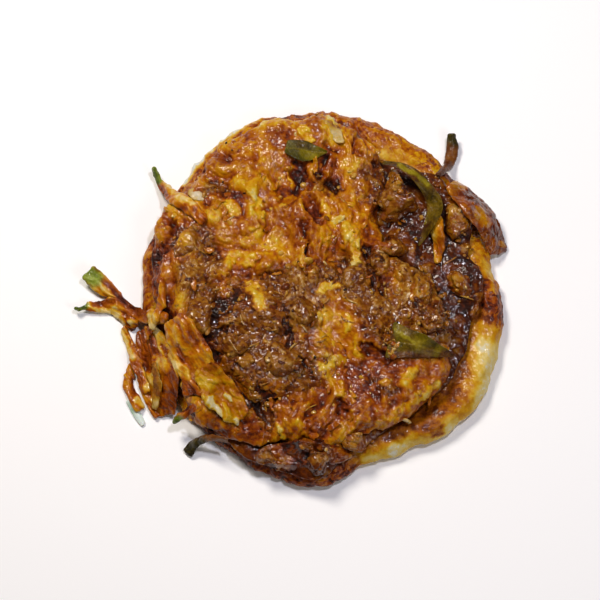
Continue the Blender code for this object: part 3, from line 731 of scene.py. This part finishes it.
# Strokes in photo pixels: moist white crumb, oily yellow skin and orange stains.
FOLD_WHITE = ((211, 399, 214, 407, 5), (215, 408, 219, 419, 5), (235, 419, 240, 428, 5),
              (226, 396, 232, 402, 4))
FOLD_YELLOW = ((202, 382, 214, 386, 11), (224, 406, 229, 424, 7), (204, 400, 202, 410, 7))
FOLD_ORANGE = ((218, 390, 232, 404, 12), (236, 432, 254, 440, 14), (212, 426, 218, 434, 10))
FOLD_TONES = ("#521C00", "#844000", "#A26400", "#B28608", "#BA9C30", "#BCAE80", "#C2BAB0")
fold = fine_solid("torn_fold_bread", "torn_fold", 4)
spots = points_of(fold)
seen = ragged_pixels(spots, 2.5, 200)
white, yellow = streaks(seen, FOLD_WHITE), streaks(seen, FOLD_YELLOW)
run = spots @ np.array((0.6, -0.8, 0.0))
bent = np.stack((spots @ np.array((0.8, 0.6, 0.0)) + 1.5 * MM * lumps(spots, 7 * MM, 205),
                 run / 3, spots[:, 2]), 1)
peeled = 1 - 2.4 * np.abs(lumps(bent, 5 * MM, 206))
orange = streaks(seen, FOLD_ORANGE)
relief_mm = (0.9 * peeled + swell(spots, (0.5, 5, 201), (0.3, 2, 202)) + 0.5 * white
             + 0.6 * yellow - 0.6 * orange)
raise_surface(fold, spots, relief_mm)
tone = 0.28 + swell(spots, (0.16, 6, 203), (0.10, 2, 204)) + 0.1 * relief_mm
tone = towards(tone, 0.55, yellow)
tone = towards(tone, 0.22, 0.8 * orange)
paint(fold, {"tone": towards(tone, 0.92, 0.85 * white)})
# Layers peeled apart: oily yellow skin and moist white crumb, both with light in them.
fold.data.materials.append(wet_food(
    "peeled_parotta_layers", FOLD_TONES, roughness=0.28, coat=0.15, grain=3 * MM, bump=1.0 * MM,
    translucent=0.25))
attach(fold, "root")
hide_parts("torn_fold")

# Bread strips. Thin layers peeled off the upper flatbread, which trail off at the left and curl:
# oily, half see-through, orange-brown with paler threads along them and olive tips.
STRIPS = sorted(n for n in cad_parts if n.startswith("shred_") and n != "shred_pale_strip")
# Strokes in photo pixels: olive tips, cream threads with painted highlights along strip edges,
# yellow stains, and red-brown stains with painted shade in the creases between strips.
OLIVE_TIPS = (
    (82, 268, 94, 278, 17), (72, 310, 84, 306, 9), (152, 168, 158, 180, 9), (170, 426, 180, 420, 9),
)
STRIP_CREAM_AND_HIGHLIGHTS = (
    (113, 309, 118, 314, 6), (89, 306, 110, 312, 4), (119, 326, 139, 370, 4),
    (131, 322, 138, 332, 5), (153, 325, 157, 332, 5), (160, 346, 167, 358, 4),
    (167, 359, 177, 366, 6), (143, 371, 146, 388, 5), (164, 378, 170, 388, 4),
    (136, 400, 147, 411, 4), (172, 186, 180, 190, 5), (160, 176, 172, 190, 4),
    (151, 366, 154, 376, 4), (184, 200, 192, 204, 5), (152, 398, 156, 404, 4),
    (90, 276, 108, 292, 4), (190, 404, 198, 398, 4), (156, 356, 160, 372, 3),
)
STRIP_YELLOW = (
    (86, 271, 106, 294, 16), (152, 318, 160, 345, 9), (160, 340, 172, 362, 11),
    (166, 362, 188, 374, 12), (162, 180, 184, 200, 8), (430, 206, 434, 262, 8),
    (118, 316, 124, 330, 8), (148, 376, 154, 394, 9),
)
STRIP_RED_AND_CREASE_SHADE = (
    (96, 303, 112, 302, 7), (128, 300, 144, 316, 11), (136, 330, 152, 352, 12),
    (140, 340, 146, 366, 9), (160, 400, 180, 404, 12), (170, 380, 188, 396, 16),
    (136, 364, 142, 380, 9), (120, 300, 130, 306, 8), (176, 404, 190, 410, 12),
    (162, 344, 173, 372, 4), (150, 330, 156, 352, 4), (177, 346, 192, 374, 5),
    (146, 352, 152, 372, 4), (158, 372, 163, 398, 5), (125, 316, 134, 346, 4),
    (186, 360, 198, 384, 7), (166, 390, 176, 412, 6), (104, 280, 118, 296, 4),
)
STRIP_TONES = ("#2C0A00", "#642400", "#8E4200", "#AA6204", "#BC8210", "#C89E30", "#D0B878")
OLIVE_TONES = ("#28300A", "#4A5814", "#6E7C20", "#8E9A38")
STRIP_LOWEST = -0.2 * MM
# Thin dough soaked in oil: amber, half see-through and wet at its edges, with olive tips.
strip_dough = wet_food("oiled_bread_strip", STRIP_TONES, OLIVE_TONES, roughness=0.28, coat=0.4,
                       grain=2.6 * MM, bump=1.1 * MM, translucent=0.2)
strips = []
for seed, node in enumerate(STRIPS):
    strip = fine_solid(node + "_strip", node, 3)
    spots = points_of(strip)
    low_corner, high_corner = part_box(node)
    reach = high_corner - low_corner
    forward = 1 if node == "shred_spike" else -1
    run = np.array((reach.x, forward * reach.y, 0)) / math.hypot(reach.x, reach.y)
    side = spots @ np.array((-run[1], run[0], 0))
    bent = np.stack((side + 1.2 * MM * lumps(spots, 8 * MM, 219), spots @ run / 4,
                     spots[:, 2] / 2), 1)
    threads = 1 - 2.2 * np.abs(lumps(bent, 4.0 * MM, 220 + seed))
    hairs = 1 - 2.2 * np.abs(lumps(bent, 1.7 * MM, 230 + seed))
    seen = ragged_pixels(spots, 2.4, 295)
    # Red-brown stains, with painted shade in the creases between strips.
    red = streaks(seen, STRIP_RED_AND_CREASE_SHADE)
    relief_mm = (0.60 * threads + 0.28 * hairs - 0.7 * red
                 + swell(spots, (0.6, 6, 240 + seed), (0.20, 2.0, 260)))
    raise_surface(strip, spots, relief_mm, STRIP_LOWEST)
    tone = towards(0.32, 0.66, 0.8 * streaks(seen, STRIP_YELLOW))
    # Cream threads, and painted highlights along the strip edges.
    tone = towards(tone, 0.90, 0.75 * streaks(seen, STRIP_CREAM_AND_HIGHLIGHTS))
    tone = towards(tone, 0.20, 0.8 * red) + 0.16 * lumps(spots, 8 * MM, 270 + seed)
    tone += (0.14 * threads + 0.10 * hairs + 0.12 * lumps(spots, 3 * MM, 290)
             + 0.08 * relief_mm) * (1 - 0.5 * red)
    paint(strip, {"tone": tone, "meat": streaks(photo_pixels(spots), OLIVE_TIPS)})
    strip.data.materials.append(strip_dough)
    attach(strip, "root")
    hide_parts(node)
    strips.append(strip)

# Bare dough. The unstained tip of a bread layer at the lower left, pale and slightly blue.
tip = fine_solid("dough_tip_layer", "dough_tip", 3)
spots = points_of(tip)
raise_surface(tip, spots, swell(spots, (0.15, 3, 280)))
paint(tip, {"tone": 0.65 + swell(spots, (0.5, 4, 281))})
# Dough that no oil has reached: pale, slightly blue and nearly matt.
tip.data.materials.append(wet_food(
    "bare_dough", ("#5E7A5C", "#8CA890", "#B2C6BC", "#CBD8D2", "#DDE4E0"), roughness=0.4,
    coat=0.2, grain=3 * MM, bump=1.0 * MM, translucent=0.2))
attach(tip, "root")
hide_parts("dough_tip")

# Curry leaves. Small pointed leaves fried crisp in oil and softened by the gravy: waxy olive,
# with a paler midrib and fine side veins.
VEIN_SPACING = 2.2 * MM
LEAF_TONES = ("#141202", "#2C2802", "#4C4402", "#6C5E04", "#8A7A14", "#A69448")
# Strokes in photo pixels: browned edges, partly painted shade at the leaf ends, and painted
# highlights where the leaves shine.
LEAF_BROWNING_AND_SHADE = ((394, 356, 440, 362, 9), (444, 356, 452, 358, 12), (390, 330, 394, 356, 7),
                    (404, 178, 414, 188, 6), (418, 206, 424, 224, 6))
LEAF_SHINE = ((303, 153, 314, 157, 9), (400, 165, 414, 173, 5), (414, 173, 428, 185, 5),
              (420, 212, 423, 222, 7), (396, 329, 414, 344, 4))
# How much lighter each leaf is, how brown, and which way its midrib runs.
LEAF_SHADE = {"leaf_far": -0.10, "leaf_curled": -0.06, "leaf_near": 0.02}
LEAF_BROWNING = {"leaf_far": 0.05, "leaf_curled": 0.45, "leaf_near": 0.2}
LEAF_RUN = {"leaf_far": (1.0, -0.1), "leaf_curled": (0.5, -0.86), "leaf_near": (0.98, -0.2)}
SPRIG_BROWN = ("#24100A", "#40200A", "#5E3810", "#7C5016")
# Leaf skin fried in oil: waxy olive with a broad, dull gloss.
leaf_skin = wet_food("fried_curry_leaf", LEAF_TONES, SPRIG_BROWN, roughness=0.44, coat=0.12,
                     grain=3 * MM, bump=1.0 * MM, translucent=0.08)
leaves = []
for seed, (node, run) in enumerate(LEAF_RUN.items()):
    leaf = fine_solid(node + "_blade", node, 4)
    spots = points_of(leaf)
    run = np.array(run) / math.hypot(*run)
    middle = spots[:, :2].mean(0)
    along = (spots[:, :2] - middle) @ run
    side = (spots[:, :2] - middle) @ np.array((-run[1], run[0]))
    slant = (along - 0.8 * np.abs(side)) / VEIN_SPACING
    veins = eased_step(np.abs((slant % 1) - 0.5), 0.38, 0.5)
    midrib = 1 - eased_step(np.abs(side), 0.2 * MM, 0.7 * MM)
    relief_mm = 0.6 * lumps(spots, 6 * MM, 300 + seed) - 0.08 * veins - 0.15 * midrib
    reshape(leaf, spots + np.array((0, 0, 1)) * (relief_mm * MM)[:, None])
    tone = (0.50 + 0.18 * lumps(spots, 7 * MM, 305 + seed) + 0.2 * relief_mm + 0.14 * midrib
            + 0.06 * veins)
    browned_and_shaded = 0.5 * eased_step(lumps(spots, 8 * MM, 310 + seed), -0.2, 0.5)
    seen = ragged_pixels(spots, 1.5, 320)
    # Browned edges, and painted shade at the ends of the curled and near leaves.
    browned_and_shaded += 0.8 * streaks(seen, LEAF_BROWNING_AND_SHADE) + LEAF_BROWNING[node]
    # Painted highlights where the leaves shine.
    shine = streaks(seen, LEAF_SHINE)
    paint(leaf, {"tone": towards(tone + LEAF_SHADE[node], 0.95, 0.5 * shine),
                 "meat": browned_and_shaded * (1 - shine)})
    leaf.data.materials.append(leaf_skin)
    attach(leaf, "root")
    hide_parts(node)
    leaves.append(leaf)

# Stalks. Two stems of the curry sprig: a brown one with a dark tip at the upper right, and one
# that ends in a dark olive knob at the lower left.

# Strokes in photo pixels: the dark ends of both stalks.
DARK_ENDS = ((446, 132, 456, 138, 18), (186, 452, 198, 446, 20))
# Green bark fried in oil: dark brown with a dull gloss.
stalk_bark = wet_food("curry_stalk", ("#2A1006", "#4C240A", "#683A12", "#84541E", "#9A6E34"),
                      ("#141006", "#26200A", "#3C3410", "#5A4C20"), roughness=0.4, coat=0.25,
                      grain=2 * MM, bump=0.9 * MM, translucent=0.05)
for seed, node in enumerate(("stalk_far", "stalk_front")):
    stalk = fine_solid(node + "_stem", node, 4)
    spots = points_of(stalk)
    relief_mm = swell(spots, (0.4, 4, 330 + seed), (0.15, 1.5, 331))
    raise_surface(stalk, spots, relief_mm)
    paint(stalk, {"tone": 0.45 + 0.25 * lumps(spots, 6 * MM, 332 + seed) + 0.2 * relief_mm,
                  "meat": streaks(photo_pixels(spots), DARK_ENDS)})
    stalk.data.materials.append(stalk_bark)
    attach(stalk, "root")
    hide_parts(node)

# Gravy-soaked scrap. A rag of bread so soaked that it looks like gravy, hanging over the right rim.

# Strokes in photo pixels: dark gravy on it, its tan ridges, and a painted highlight at its lower
# tip.
SCRAP_DARK = ((494, 222, 504, 244, 16), (466, 190, 482, 206, 10))
SCRAP_TAN_AND_HIGHLIGHT = ((478, 212, 487, 224, 9), (448, 172, 462, 186, 10), (500, 242, 504, 246, 4))
scrap = fine_solid("soaked_scrap", "scrap_right", 4)
spots = points_of(scrap)
bits, number = crumbs(spots, 4 * MM, 342)
relief_mm = swell(spots, (1.0, 7, 340), (0.3, 3, 341)) + 0.4 * bits
raise_surface(scrap, spots, relief_mm)
seen = ragged_pixels(spots, 2.5, 344)
tone = 0.33 + 0.16 * lumps(spots, 8 * MM, 343) + 0.10 * relief_mm + 0.10 * (number - 0.5)
# Dark gravy, then tan ridges and a painted highlight at the tip.
tone = towards(towards(tone, 0.18, streaks(seen, SCRAP_DARK)), 0.6, streaks(seen, SCRAP_TAN_AND_HIGHLIGHT))
paint(scrap, {"tone": tone, "meat": 0.35 + 0.5 * lumps(spots, 5 * MM, 345)})
# Bread that has turned to gravy: dark, glossy and lumpy.
scrap.data.materials.append(wet_food(
    "gravy_soaked_bread", SOAKED_TONES, MINCED_TONES, roughness=0.36, coat=0.7, grain=3 * MM,
    bump=1.4 * MM, translucent=0.1))
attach(scrap, "root")
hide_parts("scrap_right")

# Loose mince. Grains of beef, onion and coarse spice that came off the roast and lie all over it,
# thickest on the masala. Each is a broken chip of 1 to 4 mm, sunk halfway in.
CELL = 0.6 * MM
MAP_HALF = 115 * MM
USUAL_TOP = 12 * MM
GRAINS = 520
GRAIN_LEAST = 0.7 * MM
GRAIN_SPREAD = 1.6 * MM
LOOSE_ON = {"soaked": 1.0, "mince": 1.0, "gravy": 0.8, "beef": 0.6}


def height_map(groups):
    """Height of the dressed food over a fine grid, and which group is on top there."""
    count = int(2 * MAP_HALF / CELL)
    height = np.full((count, count), -1.0)
    owner = np.full((count, count), -1)
    for number, things in enumerate(groups):
        mine = np.full((count, count), -1.0)
        for thing in things:
            points = points_of(thing)
            cells = ((points[:, :2] + MAP_HALF) / CELL).astype(int)
            np.maximum.at(mine, (cells[:, 0], cells[:, 1]), points[:, 2])
        for _ in range(2):
            spread = mine.copy()
            for axis, step in ((0, 1), (0, -1), (1, 1), (1, -1)):
                spread = np.maximum(spread, np.roll(mine, step, axis))
            mine = np.where(mine < 0, spread, mine)
        owner = np.where(mine > height, number, owner)
        height = np.maximum(mine, height)
    return height, owner


GROUPS = {"rim": [lower_parotta], "soaked": [upper_parotta], "gravy": [filling], "mince": heaps,
          "beef": chunks, "strip": strips + [fold], "garnish": leaves + slices}
food_height, food_owner = height_map(GROUPS.values())


def look_up(table, xy):
    cells = np.clip(((xy + MAP_HALF) / CELL).astype(int), 0, len(table) - 1)
    return table[cells[:, 0], cells[:, 1]]


def loose_places(rng, count, chance, span):
    """Random places on the food, kept with the chance of the group that is on top there."""
    xy = rng.uniform(-span, span, (count, 2))
    chances = np.array([chance.get(name, 0.0) for name in GROUPS])
    owner = look_up(food_owner, xy)
    kept = (owner >= 0) & (rng.random(count) < chances[np.maximum(owner, 0)])
    return xy[kept]


def under_pixels(pixels):
    """Points on the dressed food that the camera sees at these photo pixels."""
    offset = (pixels - PHOTO_SIZE / 2) * PIXEL_ON_FOOD / CAMERA_DISTANCE
    rays = -towards_camera + offset[:, :1] * np.array((1, 0, 0)) - offset[:, 1:] * camera_up
    height = np.full(len(pixels), USUAL_TOP)
    for _ in range(4):
        points = camera_place + rays * ((height - camera_place[2]) / rays[:, 2])[:, None]
        height = look_up(food_height, points[:, :2])
        height = np.where(height < 0, USUAL_TOP, height)
    return np.column_stack((points[:, :2], height))


def random_turns(rng, count):
    """Random rotation matrices."""
    q = rng.normal(size=(count, 4))
    w, x, y, z = (q / np.linalg.norm(q, axis=1)[:, None]).T
    return np.stack((1 - 2 * (y * y + z * z), 2 * (x * y - w * z), 2 * (x * z + w * y),
                     2 * (x * y + w * z), 1 - 2 * (x * x + z * z), 2 * (y * z - w * x),
                     2 * (x * z - w * y), 2 * (y * z + w * x), 1 - 2 * (x * x + y * y)),
                    1).reshape(count, 3, 3)


def joined_bits(name, bits, faces, tone, meat, surface):
    """One object of many bits: bits is (bit, point, xyz), and each bit has the same faces."""
    count, each = bits.shape[:2]
    all_faces = (np.arange(count)[:, None, None] * each + faces[None]).reshape(-1, faces.shape[1])
    mesh = bpy.data.meshes.new(name)
    mesh.from_pydata(bits.reshape(-1, 3).tolist(), [], all_faces.tolist())
    mesh.shade_smooth()
    mesh.materials.append(surface)
    thing = bpy.data.objects.new(name, mesh)
    bpy.context.scene.collection.objects.link(thing)
    paint(thing, {"tone": tone.ravel(), "meat": meat.ravel()})
    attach(thing, "root")


# Piles of crumbs, in photo pixels from one end to the other, with their number of grains.
CRUMB_PILES = (
    (387, 328, 391, 354, 34), (478, 212, 486, 224, 16), (446, 194, 464, 204, 14),
    (400, 300, 440, 312, 16), (307, 358, 330, 370, 14), (322, 266, 350, 290, 16),
    (392, 172, 404, 200, 14), (250, 366, 262, 378, 10), (412, 316, 452, 330, 22),
)
rng = np.random.default_rng(11)
ball = bmesh.new()
bmesh.ops.create_icosphere(ball, subdivisions=2, radius=1)
ball_points = np.array([v.co[:] for v in ball.verts])
ball_faces = np.array([[v.index for v in f.verts] for f in ball.faces])
ball.free()

xy = loose_places(rng, 9000, LOOSE_ON, 90 * MM)
where = np.column_stack((xy, look_up(food_height, xy)))
_, meat, _ = soaked(where)
where = where[rng.random(len(xy)) < 0.05 + 0.4 * meat ** 2][:GRAINS]
piled = [np.linspace((x, y), (end_x, end_y), grains) + rng.normal(scale=3.0, size=(grains, 2))
         for x, y, end_x, end_y, grains in CRUMB_PILES]
where = np.concatenate((where, under_pixels(np.concatenate(piled))))
_, meat, _ = soaked(where)
count = len(where)
size = GRAIN_LEAST + GRAIN_SPREAD * rng.random(count) ** 2
chips = np.array([broken_faces(ball_points, 6, rng) for _ in range(count)])
stretch = rng.uniform(0.5, 1.4, (count, 3)) * (1, 1, 0.7)
grains = chips * (size[:, None] * stretch)[:, None, :]
grains = np.einsum("nij,nkj->nki", random_turns(rng, count), grains)
grains += where[:, None, :] - np.array((0, 0, 0.35)) * size[:, None, None]
own_tone = 0.42 + 0.5 * (rng.random(count) - 0.42) + 0.25 * (1 - meat)
shade = own_tone[:, None] + 0.12 * ball_points[None, :, 2]
own_meat = 0.4 + 0.5 * meat + rng.uniform(-0.3, 0.3, count)
joined_bits("loose_mince", grains, ball_faces, shade,
            np.repeat(own_meat[:, None], len(ball_points), 1), beef_masala)

# Torn flakes. Scraps of the layered dough, 3 to 9 mm across, that stand up from the upper bread
# with thin ragged edges, stained orange and yellow by the oil.
FLAKE_ROWS, FLAKE_COLUMNS = 6, 5
FLAKES = 50
FLAKE_REACH = 70 * MM
FLAKE_THICKNESS = 0.30 * MM


def sheet_faces(rows, columns):
    """Triangles of a closed thin sheet: its upper grid of points comes first, then its lower."""
    faces = []
    each = rows * columns
    for i in range(rows - 1):
        for j in range(columns - 1):
            a, b = i * columns + j, (i + 1) * columns + j
            faces += [(a, b, b + 1), (a, b + 1, a + 1)]
            faces += [(each + a, each + b + 1, each + b), (each + a, each + a + 1, each + b + 1)]
    border = ([(0, j) for j in range(columns)] + [(i, columns - 1) for i in range(1, rows)]
              + [(rows - 1, j) for j in range(columns - 2, -1, -1)]
              + [(i, 0) for i in range(rows - 2, 0, -1)])
    ring = [i * columns + j for i, j in border]
    for here, ahead in zip(ring, ring[1:] + ring[:1]):
        faces += [(here, ahead, each + ahead), (here, each + ahead, each + here)]
    return np.array(faces)


xy = loose_places(rng, 2600, {"soaked": 1.0, "mince": 0.25, "gravy": 0.12, "beef": 0.15}, 85 * MM)
where = np.column_stack((xy, look_up(food_height, xy)))
tone, meat, hollow = soaked(where)
kept = rng.random(len(xy)) < 0.6 * (1 - 0.8 * meat) * (1 - hollow)
kept &= np.hypot(xy[:, 0], xy[:, 1]) < FLAKE_REACH
where, tone = where[kept][:FLAKES], tone[kept][:FLAKES]
count = len(where)
u, v = np.meshgrid(np.linspace(-1, 1, FLAKE_ROWS), np.linspace(-1, 1, FLAKE_COLUMNS), indexing="ij")
u, v = u.ravel(), v.ravel()
squeeze = np.sqrt(1 - 0.45 * v ** 2), np.sqrt(1 - 0.45 * u ** 2)
length = (1.6 + 2.4 * rng.random(count) ** 1.5) * MM
width = length * rng.uniform(0.28, 0.5, count)
edge = np.maximum(np.abs(u), np.abs(v))
jitter = 1 + 0.10 * rng.normal(size=(count, len(u))) * (edge > 0.9)
x = length[:, None] * (u * squeeze[0])[None] * jitter
y = width[:, None] * (v * squeeze[1])[None] * jitter
bend = rng.uniform(-0.5, 0.9, (count, 1)) / length[:, None]
z = bend * x ** 2 + 0.15 * MM * rng.normal(size=(count, len(u)))
thick = FLAKE_THICKNESS * (1.15 - edge)[None] + 0.05 * MM
upper = np.stack((x, y, z + thick), 2)
lower = np.stack((x, y, z - thick), 2)
flakes = np.concatenate((upper, lower), 1)
tilt = rng.uniform(-0.15, 0.45, count)
spin = rng.uniform(0, 2 * math.pi, count)
flat_x = flakes[..., 0] * np.cos(tilt)[:, None] - flakes[..., 2] * np.sin(tilt)[:, None]
risen = flakes[..., 0] * np.sin(tilt)[:, None] + flakes[..., 2] * np.cos(tilt)[:, None]
flakes = np.stack((flat_x * np.cos(spin)[:, None] - flakes[..., 1] * np.sin(spin)[:, None],
                   flat_x * np.sin(spin)[:, None] + flakes[..., 1] * np.cos(spin)[:, None],
                   risen), 2)
flakes += where[:, None, :] + np.array((0, 0, 0.1)) * MM
# Painted light: each flake's thin edge is a little lighter.
lit = 0.08 * np.tile(edge, 2)[None] + 0.03 * rng.normal(size=(count, 2 * len(u)))
shade = tone[:, None] + 0.06 * rng.normal(size=(count, 1)) + lit
joined_bits("torn_flakes", flakes, sheet_faces(FLAKE_ROWS, FLAKE_COLUMNS), shade,
            np.full_like(shade, 0.1), upper_parotta.data.materials[0])

# Fine threads. Beef fibres and slivers of onion and dough, under 1 mm thick, that lie over the
# roast in loose curves.
THREAD_STATIONS, THREAD_SIDES = 9, 5
THREADS = 36
THREAD_REACH = 74 * MM
THREADS_ON = {"soaked": 0.3, "mince": 1.0, "gravy": 0.3, "beef": 0.8}
xy = loose_places(rng, 700, THREADS_ON, 88 * MM)[:THREADS]
xy = xy[np.hypot(xy[:, 0], xy[:, 1]) < THREAD_REACH]
count = len(xy)
length = rng.uniform(3, 8, count) * MM
turn = rng.uniform(0, 2 * math.pi, count)
curl = rng.uniform(-1.6, 1.6, count) / (10 * MM)
step = np.linspace(-0.5, 0.5, THREAD_STATIONS)[None] * length[:, None]
heading = turn[:, None] + curl[:, None] * step
pace = length[:, None] / (THREAD_STATIONS - 1)
path_x = xy[:, :1] + np.cumsum(np.cos(heading) * pace, 1)
path_y = xy[:, 1:] + np.cumsum(np.sin(heading) * pace, 1)
path_z = look_up(food_height, np.stack((path_x, path_y), 2).reshape(-1, 2)).reshape(count, -1)
path_z = np.maximum(path_z, path_z.mean(1, keepdims=True) - 1.0 * MM)
for _ in range(2):
    path_z[:, 1:-1] = np.maximum(path_z[:, 1:-1], (path_z[:, :-2] + path_z[:, 2:]) / 2)
    path_z[:, 1:-1] = (path_z[:, :-2] + 2 * path_z[:, 1:-1] + path_z[:, 2:]) / 4
taper = np.sqrt(1.02 - (2 * step / length[:, None]) ** 2)
thin = rng.uniform(0.25, 0.5, count)[:, None] * MM * taper
around = np.linspace(0, 2 * math.pi, THREAD_SIDES, endpoint=False)
side_x, side_y = -np.sin(heading), np.cos(heading)
threads = np.stack((path_x[..., None] + (thin * side_x)[..., None] * np.cos(around),
                    path_y[..., None] + (thin * side_y)[..., None] * np.cos(around),
                    path_z[..., None] + thin[..., None] * np.sin(around)), 3)
threads = threads.reshape(count, -1, 3)
tube = []
for i in range(THREAD_STATIONS - 1):
    for k in range(THREAD_SIDES):
        a, b = i * THREAD_SIDES + k, i * THREAD_SIDES + (k + 1) % THREAD_SIDES
        tube += [(a, b, b + THREAD_SIDES), (a, b + THREAD_SIDES, a + THREAD_SIDES)]
for k in range(1, THREAD_SIDES - 1):
    last = (THREAD_STATIONS - 1) * THREAD_SIDES
    tube += [(0, k + 1, k), (last, last + k, last + k + 1)]
shade = np.repeat(rng.uniform(0.5, 0.9, count)[:, None], threads.shape[1], 1)
own_meat = np.repeat(rng.uniform(0.5, 1, count)[:, None], threads.shape[1], 1)
joined_bits("fine_threads", threads, np.array(tube), shade, own_meat, beef_masala)

# Spice specks. Burst mustard seeds and cracked pepper, about 1 mm across and nearly black.
SPECKS = ((223, 182), (226, 143), (244, 193), (315, 357), (261, 429), (312, 372), (232, 150),
          (298, 262), (250, 408), (345, 290), (206, 284), (398, 322))
where = under_pixels(np.array(SPECKS, float))
count = len(where)
specks = np.array([broken_faces(ball_points, 6, rng) for _ in range(count)])
specks = specks * (rng.uniform(0.45, 0.85, (count, 1, 3)) * MM)
specks = specks + where[:, None, :] + np.array((0, 0, 0.2)) * MM
# Burst seeds: nearly black and rough, with hardly any gloss.
spice = wet_food("cracked_pepper", ("#080403", "#1A0E08", "#2C1A10", "#4A3420"), roughness=0.5,
                 coat=0.2, grain=0.8 * MM, bump=0.5 * MM)
joined_bits("spice_specks", specks, ball_faces, rng.uniform(0, 1, (count, len(ball_points))),
            np.zeros((count, len(ball_points))), spice)
